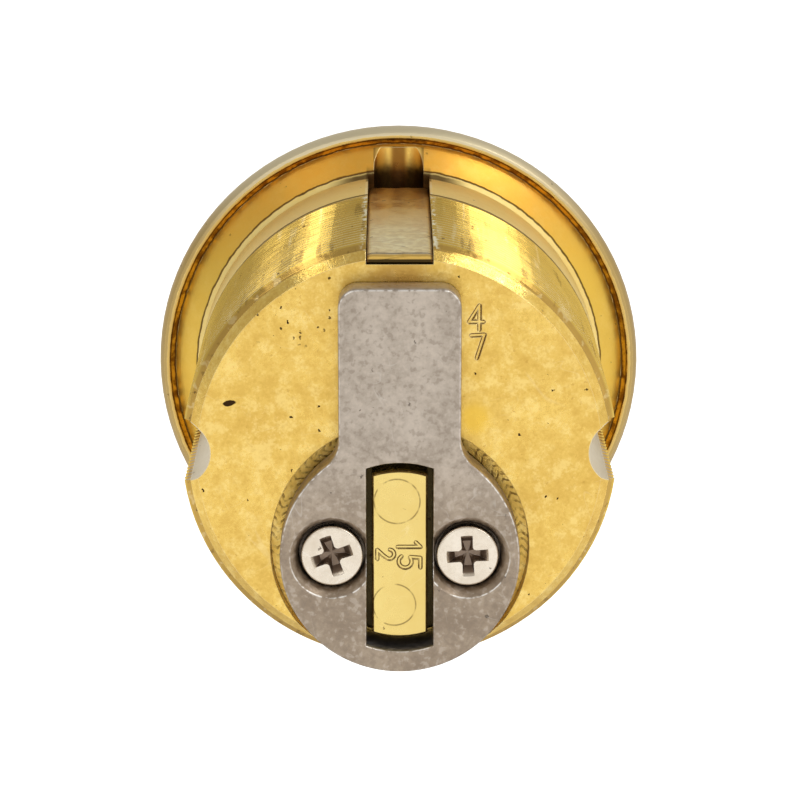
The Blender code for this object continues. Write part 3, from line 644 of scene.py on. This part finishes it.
def screw_nickel():
    material, tree, where = new_material("screw_nickel", 0.25, (0.80, 0.72, 0.62))
    x, y, z = parts(where)
    rounded, edge = edges_of(tree, 0.05 * MM)
    stain = stains(where, 420.0, 1.4)
    marks = scratches(where, 700.0, 0.8, 0.9)
    dots = specks(where, 2900.0, 0.04)
    off = from_line(absolute(x), z, (SCREW_SPREAD, PLUG_Z))
    # the cross recess painted dark: painted shade in the recess
    inside = times(span(y, SCREW_TOP_Y + 0.10 * MM, SCREW_TOP_Y + 0.32 * MM), fall(off, 1.60 * MM, 1.66 * MM))
    ground = mix(stain, (0.70, 0.61, 0.49), (0.84, 0.76, 0.65))
    ground = paint(ground, (
        (times(marks, 0.4), (0.93, 0.90, 0.86)),
        (times(dots, 0.8), (0.12, 0.09, 0.06)),
        (times(inside, 0.85), (0.16, 0.10, 0.065)),
        # pale line along the edges: painted highlight
        (times(edge, 0.3), (0.95, 0.92, 0.88)),
    ))
    rough = plus(span(stain, 0.2, 0.9, 0.32, 0.2), times(inside, 0.15))
    return coat(material, ground, rough, total((stain, 0.6), (marks, -0.4)), 0.35, 0.02 * MM, rounded)


def strip_nickel():
    material, tree, where = new_material("strip_nickel", 0.36, NICKEL)
    x, y, z = parts(where)
    rounded, _ = edges_of(tree, 0.05 * MM)
    stain = stains(where, 300.0, 1.5)
    marks = scratches(where, 520.0, 1.0, 0.1)
    dots = specks(where, 2300.0, 0.08)
    # painted shade in sheltered nooks
    nook_shade = occlusion_shade(tree, 0.7 * MM, 0.15, 0.55)
    mottle = grain(where, 1700.0, 4.0)
    # warmer and darker towards the head: painted reflection of the head's cone
    farther = plus(y, times(stain, 4 * MM))
    end = fall(y, -25.35 * MM, -25.15 * MM)
    # the rear end's lower part painted near black: painted shadow in the gap under it
    end_gap_shadow = times(end, fall(z, 13.36 * MM, 13.44 * MM))
    behind_end = within(y, -25.15 * MM, -24.75 * MM, 0.06 * MM)
    # the strip's sides painted dark: painted shade in the gaps beside the slot walls
    side = span(absolute(x), 2.0 * MM, 2.12 * MM)
    ground = mix(stain, (0.90, 0.74, 0.40), (1.0, 0.93, 0.56))
    ground = paint(ground, (
        (span(mottle, 0.40, 0.62, 0.45, 0.0), (0.62, 0.46, 0.20)),
        (span(farther, -17 * MM, -8 * MM), (0.80, 0.56, 0.20)),
        (span(farther, -8 * MM, -1 * MM), (0.42, 0.22, 0.06)),
        (times(marks, 0.5), (0.30, 0.22, 0.11)),
        (times(dots, 0.8), (0.16, 0.10, 0.04)),
        (end, (0.72, 0.47, 0.12)),
        (times(end_gap_shadow, 0.95), (0.03, 0.018, 0.008)),
        (times(behind_end, 0.8), (0.10, 0.05, 0.015)),
        (times(side, 0.75), (0.12, 0.05, 0.012)),
        (times(nook_shade, 0.6), (0.14, 0.08, 0.03)),
    ))
    height = minus(plus(stain, mottle), plus(times(marks, 0.5), dots))
    return coat(material, ground, span(stain, 0.2, 0.9, 0.44, 0.3), height, 0.22, 0.03 * MM, rounded)


def hidden_metal(name, light, dark, roughness):
    """Turned pins and drawn wire inside the lock."""
    material, tree, where = new_material(name, roughness, light)
    stain = stains(where, 500.0, 1.2)
    marks = scratches(where, 700.0, 0.5, 0.7)
    ground = mix(times(marks, 0.4), mix(stain, dark, light), (0.9, 0.88, 0.84))
    rough = span(stain, 0.2, 0.9, roughness + 0.06, roughness - 0.05)
    return coat(material, ground, rough, stain, 0.25, 0.01 * MM, flat_normal(tree))


# Mesh helpers
def finish(bm, name, material, sharp=35):
    """Makes an object at the origin of bm, faces out and smooth up to the sharp angle."""
    bmesh.ops.remove_doubles(bm, verts=bm.verts, dist=1e-8)
    bmesh.ops.recalc_face_normals(bm, faces=bm.faces)
    mesh = bpy.data.meshes.new(name)
    bm.to_mesh(mesh)
    bm.free()
    if material is not None:
        mesh.materials.append(material)
    mesh.shade_smooth()
    mesh.set_sharp_from_angle(angle=radians(sharp))
    obj = bpy.data.objects.new(name, mesh)
    bpy.context.scene.collection.objects.link(obj)
    return obj


def lathe(name, profile, x, z, steps, material=None):
    """Turns (radius, y) points about a line along Y through x and z."""
    bm = bmesh.new()
    verts = [bm.verts.new((x + r, y, z)) for r, y in profile]
    edges = [bm.edges.new(pair) for pair in zip(verts, verts[1:])]
    bmesh.ops.spin(bm, geom=verts + edges, cent=(x, 0, z), axis=(0, 1, 0), angle=2 * pi, steps=steps,
                   use_merge=True)
    bmesh.ops.remove_doubles(bm, verts=bm.verts, dist=1e-8)
    return finish(bm, name, material)


def skin(name, loops, material=None, sharp=35):
    """Skins closed loops of equal length one after another and closes both ends."""
    bm = bmesh.new()
    made = [[bm.verts.new(p) for p in loop] for loop in loops]
    for low, high in zip(made, made[1:]):
        for i in range(len(low)):
            j = (i + 1) % len(low)
            bm.faces.new((low[i], low[j], high[j], high[i]))
    bm.faces.new(made[0])
    bm.faces.new(made[-1])
    return finish(bm, name, material, sharp)


def arc(cx, cy, r, start, end, steps):
    angles = [start + (end - start) * i / steps for i in range(steps + 1)]
    return [(cx + r * cos(a), cy + r * sin(a)) for a in angles]


def smooth(obj, sharp):
    """Shades a cut piece smooth again, in its one material."""
    metal = obj.data.materials[0]
    obj.data.materials.clear()
    obj.data.materials.append(metal)
    obj.data.shade_smooth()
    obj.data.set_sharp_from_angle(angle=radians(sharp))


def combine(obj, tools, operation):
    """Applies exact Booleans, one tool after another, and removes the tools."""
    for tool in tools:
        modifier = obj.modifiers.new(tool.name, "BOOLEAN")
        modifier.operation = operation
        modifier.solver = "EXACT"
        modifier.object = tool
    bpy.context.view_layer.update()
    mesh = bpy.data.meshes.new_from_object(obj.evaluated_get(bpy.context.evaluated_depsgraph_get()))
    obj.modifiers.clear()
    obj.data = mesh
    for tool in tools:
        bpy.data.objects.remove(tool)
    return obj


def merged_copy(node, name, material, sharp):
    """A closed, smooth-shaded copy of a CAD node, made from its points and faces alone."""
    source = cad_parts[node].data
    mesh = bpy.data.meshes.new(name)
    mesh.from_pydata([v.co for v in source.vertices], [], [tuple(p.vertices) for p in source.polygons])
    bm = bmesh.new()
    bm.from_mesh(mesh)
    bmesh.ops.remove_doubles(bm, verts=bm.verts, dist=1e-7)
    return finish(bm, name, material, sharp)


def cylinder_tool(name, x, z, end, r, steps=48):
    """A cylinder along Y that starts behind the object."""
    return lathe(name, [(0, BEYOND_REAR_Y), (r, BEYOND_REAR_Y), (r, end), (0, end)], x, z, steps)


# Stamped digits, as smooth strokes in a box 0.6 wide and 1 high
DIGITS = {
    "1": [[(0.12, 0.80), (0.32, 1.0)], [(0.32, 1.0), (0.32, 0.0)]],
    "2": [arc(0.3, 0.70, 0.28, pi * 0.95, -pi * 0.10, 9) + [(0.40, 0.38), (0.04, 0.0)],
          [(0.04, 0.0), (0.58, 0.0)]],
    "4": [[(0.44, 0.0), (0.44, 1.0)], [(0.44, 1.0), (0.02, 0.32)], [(0.02, 0.32), (0.60, 0.32)]],
    "5": [[(0.54, 1.0), (0.10, 1.0)], [(0.10, 1.0), (0.06, 0.56)],
          arc(0.27, 0.32, 0.29, pi * 0.72, -pi * 0.80, 11)],
    "7": [[(0.02, 1.0), (0.58, 1.0)], [(0.58, 1.0), (0.20, 0.0)]],
}


def stroke_tools(name, digit, corner, height, turn, y):
    """Round-bottomed, round-ended strokes of a digit on a face that looks along -Y."""
    r = DIGIT_R
    made = []
    for stroke in DIGITS[digit]:
        path = []
        for u, v in stroke:
            across, up = u * height, v * height
            path.append(Vector((corner[0] + across * cos(turn) - up * sin(turn), y,
                                corner[1] + across * sin(turn) + up * cos(turn))))
        loops = []
        for i, point in enumerate(path):
            tangent = (path[min(i + 1, len(path) - 1)] - path[max(i - 1, 0)]).normalized()
            side = tangent.cross(Vector((0, 1, 0)))
            ends = [(0.0, 1.0)]
            if i == 0:
                ends = [(-0.94, 0.34), (-0.6, 0.8), (0.0, 1.0)]
            if i == len(path) - 1:
                ends = [(0.0, 1.0), (0.6, 0.8), (0.94, 0.34)]
            for ahead, width in ends:
                ring = []
                for k in range(10):
                    a = 2 * pi * k / 10
                    out = side * cos(a) + Vector((0, sin(a), 0))
                    ring.append(point + tangent * ahead * r + out * r * width)
                loops.append(ring)
        made.append(skin(name, loops))
    return made


def stamp(body, face_y, marks):
    """Cuts digits into a face that looks along -Y: name, digit, corner, height and turn of each."""
    tools = []
    for mark in marks:
        tools += stroke_tools(*mark, face_y - DIGIT_LIFT)
    combine(body, tools, "DIFFERENCE")
    smooth(body, 28)


def make_shell(material):
    """The CAD shell with two stamped digits beside the cam's finger."""
    shell = merged_copy("shell", "shell_body", material, 28)
    stamp(shell, REAR_Y, [("rear_digit_a", "4", (4.55 * MM, 8.70 * MM), 1.62 * MM, 0.0),
                          ("rear_digit_b", "7", (4.80 * MM, 6.75 * MM), 1.55 * MM, 0.06)])
    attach(shell, "shell")
    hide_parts("shell")


def make_plug(material):
    """The CAD plug with digits stamped across its tongue."""
    plug = merged_copy("plug", "plug_body", material, 28)
    stamp(plug, TONGUE_END_Y, [("tongue_digit_a", "1", (-0.12 * MM, -5.35 * MM), 1.50 * MM, -pi / 2),
                               ("tongue_digit_b", "5", (-0.12 * MM, -6.45 * MM), 1.50 * MM, -pi / 2),
                               ("tongue_digit_c", "2", (-1.50 * MM, -6.00 * MM), 1.15 * MM, -pi / 2)])
    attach(plug, "plug")
    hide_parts("plug")


# Helical pieces, made with Geometry Nodes
def empty_tree(name, sockets):
    tree = bpy.data.node_groups.new(name, "GeometryNodeTree")
    for label, kind in sockets:
        tree.interface.new_socket(label, in_out="INPUT", socket_type="NodeSocket" + kind)
    tree.interface.new_socket("Geometry", in_out="OUTPUT", socket_type="NodeSocketGeometry")
    given = tree.nodes.new("NodeGroupInput").outputs
    out = tree.nodes.new("NodeGroupOutput").inputs
    return tree, given, out


def end_tree(tree, geometry, metal, out):
    real = add(tree, "GeometryNodeRealizeInstances", {0: geometry})
    painted = add(tree, "GeometryNodeSetMaterial", {"Geometry": real.outputs[0], "Material": metal})
    tree.links.new(painted.outputs[0], out["Geometry"])


def thread_tree():
    """A right-hand thread ridge about +Y: a trapezoid swept along a spiral."""
    tree, given, out = empty_tree("thread", [
        ("Crest Radius", "Float"), ("Base Radius", "Float"), ("Base Width", "Float"),
        ("Crest Width", "Float"), ("Start", "Float"), ("Length", "Float"), ("Pitch", "Float"),
        ("Steps", "Int"), ("Metal", "Material"),
    ])
    middle = times(plus(given["Crest Radius"], given["Base Radius"]), 0.5)
    depth = minus(given["Crest Radius"], given["Base Radius"])
    turns = maths("DIVIDE", given["Length"], given["Pitch"])
    line = add(tree, "GeometryNodeCurveSpiral",
               {"Start Radius": middle, "End Radius": middle, "Rotations": turns,
                "Height": given["Length"], "Resolution": given["Steps"], "Reverse": True})
    level = add(tree, "GeometryNodeSetCurveNormal", {"Curve": line.outputs[0]}, mode="Z_UP")
    profile = add(tree, "GeometryNodeCurvePrimitiveQuadrilateral",
                  {"Height": depth, "Bottom Width": given["Base Width"],
                   "Top Width": given["Crest Width"], "Offset": 0.0}, mode="TRAPEZOID")
    outward = add(tree, "GeometryNodeTransform",
                  {"Geometry": profile.outputs[0], "Rotation": (0.0, 0.0, -pi / 2)})
    ridge = add(tree, "GeometryNodeCurveToMesh",
                {"Curve": level.outputs[0], "Profile Curve": outward.outputs[0], "Fill Caps": True})
    shift = add(tree, "ShaderNodeCombineXYZ", {"Y": given["Start"]})
    placed = add(tree, "GeometryNodeTransform",
                 {"Geometry": ridge.outputs[0], "Rotation": (-pi / 2, 0.0, 0.0),
                  "Translation": shift.outputs[0]})
    end_tree(tree, placed.outputs[0], given["Metal"], out)
    return tree


def spring_tree():
    """A compression spring about +Z with a closed coil at each end."""
    tree, given, out = empty_tree("spring", [
        ("Coil Radius", "Float"), ("Wire", "Float"), ("Low", "Float"), ("High", "Float"),
        ("Turns", "Float"), ("Steps", "Int"), ("Sides", "Int"), ("Centre Y", "Float"),
        ("Metal", "Material"),
    ])
    line = add(tree, "GeometryNodeCurvePrimitiveLine", {"Start": (0.0, 0.0, 0.0), "End": (0.0, 0.0, 1.0)})
    fine = add(tree, "GeometryNodeResampleCurve", {"Curve": line.outputs[0], "Count": given["Steps"]},
               mode="COUNT")
    along = add(tree, "GeometryNodeSplineParameter").outputs["Factor"]
    turn = times(along, given["Turns"])
    angle = times(turn, 2 * pi)
    r = minus(given["Coil Radius"], times(given["Wire"], 0.5))
    coil = times(given["Wire"], 1.08)
    last_closed = highest(minus(turn, minus(given["Turns"], 1.0)), 0.0)
    closed = times(coil, plus(maths("MINIMUM", turn, 1.0), last_closed))
    rise = minus(minus(given["High"], given["Low"]), times(coil, 2.0))
    open_part = maths("DIVIDE", minus(turn, 1.0), minus(given["Turns"], 2.0), clamp=True)
    height = plus(given["Low"], closed, times(rise, open_part))
    x = times(maths("COSINE", angle), r)
    y = plus(times(maths("SINE", angle), r), given["Centre Y"])
    spot = add(tree, "ShaderNodeCombineXYZ", {0: x, 1: y, 2: height})
    bent = add(tree, "GeometryNodeSetPosition", {"Geometry": fine.outputs[0], "Position": spot.outputs[0]})
    section = add(tree, "GeometryNodeCurvePrimitiveCircle",
                  {"Resolution": given["Sides"], "Radius": times(given["Wire"], 0.5)},
                  mode="RADIUS")
    wire = add(tree, "GeometryNodeCurveToMesh",
               {"Curve": bent.outputs[0], "Profile Curve": section.outputs[0], "Fill Caps": True})
    end_tree(tree, wire.outputs[0], given["Metal"], out)
    return tree


def grow(name, tree, values, sharp):
    """Runs a Geometry Nodes tree on an empty mesh and makes a plain piece of the result."""
    obj = bpy.data.objects.new("grown", bpy.data.meshes.new("grown"))
    bpy.context.scene.collection.objects.link(obj)
    modifier = obj.modifiers.new("grow", "NODES")
    modifier.node_group = tree
    for item in tree.interface.items_tree:
        if item.item_type == "SOCKET" and item.in_out == "INPUT":
            modifier[item.identifier] = values[item.name]
    bpy.context.view_layer.update()
    bm = bmesh.new()
    bm.from_mesh(bpy.data.meshes.new_from_object(obj.evaluated_get(bpy.context.evaluated_depsgraph_get())))
    bpy.data.objects.remove(obj)
    return finish(bm, name, values["Metal"], sharp)


def thread_limits():
    """The space that the thread ridge may fill: the barrel's outer shape less its slot and grooves."""
    crest_rear = THREAD_MAJOR_R - REAR_CHAMFER
    root = REAR_Y + REAR_CHAMFER - (THREAD_MAJOR_R - THREAD_ROOT_R)
    end = REAR_Y + THREAD_LENGTH + 0.19 * MM
    profile = [(0, root), (crest_rear + root - REAR_Y, root), (THREAD_MAJOR_R, REAR_Y + REAR_CHAMFER),
               (THREAD_MAJOR_R, end), (0, end)]
    limits = lathe("thread_limits", profile, 0, 0, 192)
    half = SLOT_WIDTH / 2 + TRIM
    outline = [(-half, 0), (half, 0), (half, 20 * MM), (-half, 20 * MM)]
    tools = [skin("slot_space", [at(outline, BEYOND_REAR_Y), at(outline, 0)])]
    for side in (-1, 1):
        tools.append(cylinder_tool("groove_space", side * GROOVE_X, GROOVE_Z, 0, GROOVE_R + TRIM))
    tools.append(cylinder_tool("recess_space", 0, PLUG_Z, RECESS_FLOOR_Y + TRIM, RECESS_R + TRIM, 96))
    return combine(limits, tools, "DIFFERENCE")


def make_thread(material):
    """Thread ridge on the shell's barrel."""
    base = THREAD_ROOT_R - 0.05 * MM
    crest_width = THREAD_PITCH / 8
    flank = 2 * (THREAD_MAJOR_R - base) * tan(radians(30))
    thread = grow("thread_ridge", thread_tree(), {
        "Crest Radius": THREAD_MAJOR_R, "Base Radius": base, "Base Width": crest_width + flank,
        "Crest Width": crest_width, "Start": REAR_Y - 0.2 * MM, "Length": THREAD_LENGTH + 0.8 * MM,
        "Pitch": THREAD_PITCH, "Steps": 96, "Metal": material,
    }, 25)
    combine(thread, [thread_limits()], "INTERSECT")
    smooth(thread, 25)
    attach(thread, "shell")


def make_springs(material):
    tree = spring_tree()
    for index, y in enumerate(PIN_YS):
        spring = grow(f"coil_spring_{index + 1}", tree, {
            "Coil Radius": SPRING_R, "Wire": SPRING_WIRE, "Low": SPRING_LOW + SPRING_WIRE / 2,
            "High": SPRING_HIGH - SPRING_WIRE / 2, "Turns": 7.0, "Steps": 200, "Sides": 10,
            "Centre Y": y, "Metal": material,
        }, 50)
        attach(spring, "shell")
        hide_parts(f"spring_{index + 1}")
        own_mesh(spring)


# Cam
def cam_outline(inset):
    """Disc and finger in X and Z with the fillets between them."""
    disc = CAM_DISC_R - inset
    half = FINGER_WIDTH / 2 - inset
    fillet = FINGER_FILLET + inset
    corner = FINGER_CORNER - inset
    tip = PLUG_Z + FINGER_REACH - inset
    fillet_x = half + fillet
    fillet_z = sqrt((disc + fillet) ** 2 - fillet_x**2)
    turn = atan2(fillet_z, fillet_x)
    points = arc(0, PLUG_Z, disc, pi - turn, 2 * pi + turn, 120)
    points += arc(fillet_x, PLUG_Z + fillet_z, fillet, pi + turn, pi, 12)[1:]
    points += arc(half - corner, tip - corner, corner, 0, pi / 2, 10)
    points += arc(corner - half, tip - corner, corner, pi / 2, pi, 10)
    points += arc(-fillet_x, PLUG_Z + fillet_z, fillet, 0, -turn, 12)[:-1]
    return points


def tongue_slot(widen):
    half = TONGUE_WIDTH / 2 + TONGUE_SIDE_GAP + widen
    r = TONGUE_R + TONGUE_END_GAP + widen
    lean = asin(half / r)
    top = arc(0, PLUG_Z, r, pi / 2 - lean, pi / 2 + lean, 14)
    bottom = arc(0, PLUG_Z, r, 3 * pi / 2 - lean, 3 * pi / 2 + lean, 14)
    return top + bottom


def at(outline, y):
    return [(x, y, z) for x, z in outline]


def make_cam(material):
    """Pressed cam: flat disc and finger with rolled edges, a hub behind, and a slot for the tongue."""
    roll, steps = 0.16 * MM, 4
    turns = [pi / 2 * i / steps for i in range(steps + 1)]
    loops = [at(cam_outline(roll * (1 - sin(a))), CAM_FRONT_Y + roll * (1 - cos(a))) for a in turns]
    loops += [at(cam_outline(roll * (1 - cos(a))), CAM_FINGER_BACK_Y - roll * (1 - sin(a))) for a in turns]
    cam = skin("cam_plate", loops, material)
    hub_edge = 0.12 * MM
    profile = [(0, INSIDE_PLATE_Y), (CAM_HUB_R, INSIDE_PLATE_Y), (CAM_HUB_R, CAM_HUB_BACK_Y - hub_edge),
               (CAM_HUB_R - hub_edge, CAM_HUB_BACK_Y), (0, CAM_HUB_BACK_Y)]
    combine(cam, [lathe("hub", profile, 0, PLUG_Z, 128)], "UNION")

    flare = 0.07 * MM
    tools = [skin("tongue_slot", [at(tongue_slot(flare), BEYOND_REAR_Y), at(tongue_slot(flare), CAM_FRONT_Y),
                                  at(tongue_slot(flare * 0.3), CAM_FRONT_Y + flare * 0.5),
                                  at(tongue_slot(0), CAM_FRONT_Y + flare * 1.6),
                                  at(tongue_slot(0), PAST_HUB_Y)])]
    floor = SCREW_SEAT_Y + 0.02 * MM
    rim = 0.06 * MM
    profile = [(0, BEYOND_REAR_Y), (DISH_R + rim, BEYOND_REAR_Y), (DISH_R + rim, CAM_FRONT_Y),
               (DISH_R, CAM_FRONT_Y + 0.3 * rim), (DISH_R - rim, CAM_FRONT_Y + 1.2 * rim),
               (COUNTERBORE_R + 0.03 * MM, CAM_FRONT_Y + DISH_DEPTH - 0.05 * MM),
               (COUNTERBORE_R, CAM_FRONT_Y + DISH_DEPTH), (COUNTERBORE_R, floor),
               (SCREW_HOLE_R, floor), (SCREW_HOLE_R, PAST_HUB_Y), (0, PAST_HUB_Y)]
    for side in (-1, 1):
        tools.append(lathe("counterbore", profile, side * SCREW_SPREAD, PLUG_Z, 64))
    combine(cam, tools, "DIFFERENCE")
    smooth(cam, 32)
    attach(cam, "plug")
    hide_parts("cam")


# Cam screws
def cross(scale, turn, x, arm_scale):
    """Cross recess outline: four arms with rounded corners between them."""
    reach = CROSS_REACH * scale
    arm = CROSS_ARM * scale * arm_scale
    points = []
    for quarter in range(4):
        a = turn + quarter * pi / 2
        for along, across in ((reach * 0.985, -arm * 1.04), (reach, -arm * 0.5), (reach, arm * 0.5),
                              (reach * 0.985, arm * 1.04), (arm * 1.5, arm * 0.98), (arm * 1.16, arm * 1.16),
                              (arm * 0.98, arm * 1.5)):
            points.append((x + along * cos(a) - across * sin(a), PLUG_Z + along * sin(a) + across * cos(a)))
    return points


def make_screw(name, material, side, turn):
    """Pan-head cam screw with a tapered cross recess and a plain shank."""
    x = side * SCREW_SPREAD
    edge = 0.13 * MM
    profile = [(0, SCREW_TOP_Y), (SCREW_HEAD_R - 1.6 * edge, SCREW_TOP_Y + 0.004 * MM)]
    for i in range(1, 7):
        a = pi / 2 * i / 6
        profile.append((SCREW_HEAD_R - 1.6 * edge * (1 - sin(a)), SCREW_TOP_Y + edge * (1 - cos(a))))
    profile += [
        (SCREW_HEAD_R, SCREW_SEAT_Y - 0.08 * MM),
        (SCREW_HEAD_R - 0.08 * MM, SCREW_SEAT_Y),
        (SCREW_SHANK_R, SCREW_SEAT_Y),
        (SCREW_SHANK_R, SCREW_TIP_Y - 0.35 * MM),
        (SCREW_SHANK_R - 0.35 * MM, SCREW_TIP_Y),
        (0, SCREW_TIP_Y),
    ]
    screw = lathe(name, profile, x, PLUG_Z, 72, material)
    # size of the cross, width of its arms and depth below the head's top
    steps = ((1.05, 1.0, -1.0), (1.05, 1.0, -0.01), (1.0, 1.0, 0.05), (0.62, 1.1, 0.80), (0.30, 1.5, 0.92),
             (0.08, 1.5, 1.02))
    loops = [at(cross(scale, turn, x, width), SCREW_TOP_Y + depth * MM) for scale, width, depth in steps]
    combine(screw, [skin("cross_recess", loops)], "DIFFERENCE")
    smooth(screw, 30)
    node = "cam_screw_left" if side < 0 else "cam_screw_right"
    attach(screw, "plug")
    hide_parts(node)


# Strip over the pin chambers
def make_strip(material):
    """Strip pressed into the slot: a little uneven, with its rear edge peened down in waves."""
    half = SLOT_WIDTH / 2 - STRIP_SIDE_GAP
    rear, front = REAR_Y + 0.22 * MM, -1.56 * MM
    across, lengths = 14, 60
    edge = 0.10 * MM
    loops = []
    for i in range(lengths + 1):
        t = (i / lengths) ** 1.4
        y = rear + (front - rear) * t
        loop = []
        for k in range(across + 1):
            u = -1 + 2 * k / across
            x = u * half
            drop = max(0.0, abs(u) - 0.86) / 0.14
            swell = noise.noise(Vector((x * 900, y * 450, 3.1))) * 0.07 * MM
            z = STRIP_TOP - 0.03 * MM + swell - edge * drop**2
            peen = max(0.0, 1 - (y - rear) / (0.45 * MM))
            notch = max(0.0, 1 - abs(x + 0.05 * MM) / (0.35 * MM))
            back = 0.16 * MM * (0.5 + 0.5 * noise.noise(Vector((x * 1700, 7.7, 0)))) + 0.16 * MM * notch
            z -= 0.10 * MM * peen**2 * (1 + notch)
            loop.append((x, y + back * peen, z))
        for u in (1.0, 0.5, 0.0, -0.5, -1.0):
            loop.append((u * half, y, STRIP_BOTTOM))
        loops.append(loop)
    strip = skin("chamber_strip", loops, material, 40)
    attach(strip, "shell")
    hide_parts("chamber_cover")


def dress(node, material):
    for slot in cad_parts[node].material_slots:
        slot.material = material


# Camera, floor and light
PICTURE_WIDTH = 800
FOCAL_PIXELS = 3210
SENSOR_MM = 36
CAMERA_PLACE = Vector((-0.64, -232.5, 56.9)) * MM
CAMERA_WAY = Vector((0.0031, 0.9686, -0.2484))
LAMP_AIM = Vector((0.0, -14.0, 0.0)) * MM
# place, width and height in metres, and watts
LAMPS = {
    "key": ((0.230, -0.311, 0.251), (0.085, 0.30), 0.20),
    "fill": ((-0.190, -0.315, 0.268), (0.036, 0.30), 0.085),
    "side": ((-0.267, -0.290, 0.226), (0.022, 0.30), 0.028),
    "top_right": ((0.225, -0.10, 0.374), (0.05, 0.19), 0.17),
    "top_left": ((-0.21, -0.085, 0.37), (0.06, 0.06), 0.028),
}
FLOOR_Z = -46 * MM
FLOOR_LIFT = 0.75
FLOOR_GLOSS_FRONT = 0.385
FLOOR_GLOSS_BACK = 0.20
WORLD_LOW = 0.86
WORLD_MIDDLE = 0.62
WORLD_TOP = 0.86
FRONT_LEVEL = 0.35
FRONT_WAY = (0.0, -0.98, 0.20)
PANEL_WAY = (0.79, -0.16, 0.59)
PANEL_LEVEL = 0.38


def make_camera():
    """The photograph's view: a long lens, from behind the cam and 14 degrees above it."""
    forward = CAMERA_WAY.normalized()
    right = forward.cross(Vector((0, 0, 1))).normalized()
    up = right.cross(forward)
    data = bpy.data.cameras.new("camera")
    data.sensor_fit = "HORIZONTAL"
    data.sensor_width = SENSOR_MM
    data.lens = FOCAL_PIXELS * SENSOR_MM / PICTURE_WIDTH
    data.clip_start = 0.01
    data.clip_end = 20
    camera = bpy.data.objects.new("camera", data)
    turn = Matrix((right, up, -forward)).transposed().to_4x4()
    camera.matrix_world = Matrix.Translation(CAMERA_PLACE) @ turn
    bpy.context.scene.collection.objects.link(camera)
    bpy.context.scene.camera = camera


def lamp(name, place, size, watts):
    data = bpy.data.lights.new(name, "AREA")
    data.shape = "RECTANGLE"
    data.size, data.size_y = size
    data.energy = watts
    made = bpy.data.objects.new(name, data)
    made.location = place
    made.rotation_euler = (LAMP_AIM - Vector(place)).to_track_quat("-Z", "Y").to_euler()
    bpy.context.scene.collection.objects.link(made)


def make_floor():
    bm = bmesh.new()
    bmesh.ops.create_grid(bm, x_segments=8, y_segments=8, size=6.0)
    bmesh.ops.translate(bm, verts=bm.verts, vec=(0, 0, FLOOR_Z))
    mesh = bpy.data.meshes.new("floor")
    bm.to_mesh(mesh)
    bm.free()
    material = bpy.data.materials.new("pale_floor")
    material.use_nodes = True
    tree = material.node_tree
    shader = tree.nodes["Principled BSDF"]
    shader.inputs["Base Color"].default_value = (0.86, 0.86, 0.86, 1)
    shader.inputs["Roughness"].default_value = 0.9
    shader.inputs["Specular IOR Level"].default_value = 0.1
    rays = add(tree, "ShaderNodeLightPath").outputs
    shader.inputs["Emission Color"].default_value = (1, 1, 1, 1)
    x, y, _ = parts(add(tree, "ShaderNodeTexCoord").outputs["Object"])
    # less light comes off the floor close under the object
    gloss = plus(span(y, -0.03, 0.15, FLOOR_GLOSS_FRONT, FLOOR_GLOSS_BACK),
                 span(from_line(x, y), 0.02, 0.10, -0.25, 0.0))
    lift = plus(times(rays["Is Camera Ray"], FLOOR_LIFT), times(rays["Is Glossy Ray"], gloss))
    tree.links.new(lift, shader.inputs["Emission Strength"])
    mesh.materials.append(material)
    floor = bpy.data.objects.new("floor", mesh)
    bpy.context.scene.collection.objects.link(floor)


def make_world():
    world = bpy.data.worlds.new("studio")
    world.use_nodes = True
    tree = world.node_tree
    tree.nodes.clear()
    rays = add(tree, "ShaderNodeLightPath").outputs
    where = add(tree, "ShaderNodeTexCoord").outputs["Generated"]
    z = parts(where)["Z"]
    # a plain room: palest at the horizon, dim overhead, with a broad soft panel high on the right
    low = span(z, 0.0, 0.26, WORLD_LOW, WORLD_MIDDLE)
    overhead = span(z, 0.25, 0.85, 1.0, WORLD_TOP)
    panel = plus(span(leaning(where, PANEL_WAY), 0.60, 0.96, 0.0, PANEL_LEVEL),
                 span(leaning(where, FRONT_WAY), 0.93, 0.985, 0.0, FRONT_LEVEL))
    level = plus(times(low, overhead), panel)
    back = add(tree, "ShaderNodeBackground", {"Color": (1.0, 0.985, 0.95, 1.0), "Strength": level})
    white = add(tree, "ShaderNodeBackground", {"Color": (1.0, 1.0, 1.0, 1.0), "Strength": 1.0})
    choose = add(tree, "ShaderNodeMixShader",
                 {0: rays["Is Camera Ray"], 1: back.outputs[0], 2: white.outputs[0]})
    add(tree, "ShaderNodeOutputWorld", {0: choose.outputs[0]})
    bpy.context.scene.world = world


def make_light():
    make_world()
    for name, (place, size, watts) in LAMPS.items():
        lamp(name, place, size, watts)


def main():
    brass = shell_brass()
    make_shell(brass)
    make_thread(thread_brass())
    make_plug(plug_brass())
    make_cam(cam_steel())
    nickel = screw_nickel()
    make_screw("screw_left", nickel, -1, radians(19))
    make_screw("screw_right", nickel, 1, radians(3))
    make_strip(strip_nickel())
    make_springs(hidden_metal("spring_wire", (0.56, 0.56, 0.57), (0.38, 0.38, 0.40), 0.28))
    pin_brass = hidden_metal("pin_brass", BRASS_BRIGHT, BRASS_DULL, 0.24)
    pin_silver = hidden_metal("pin_nickel_silver", (0.72, 0.69, 0.60), (0.58, 0.55, 0.46), 0.22)
    for index in range(1, 6):
        dress(f"bottom_pin_{index}", pin_brass)
        dress(f"driver_pin_{index}", pin_silver)
    make_camera()
    make_floor()
    make_light()
    bpy.context.scene.view_settings.view_transform = "Standard"


main()
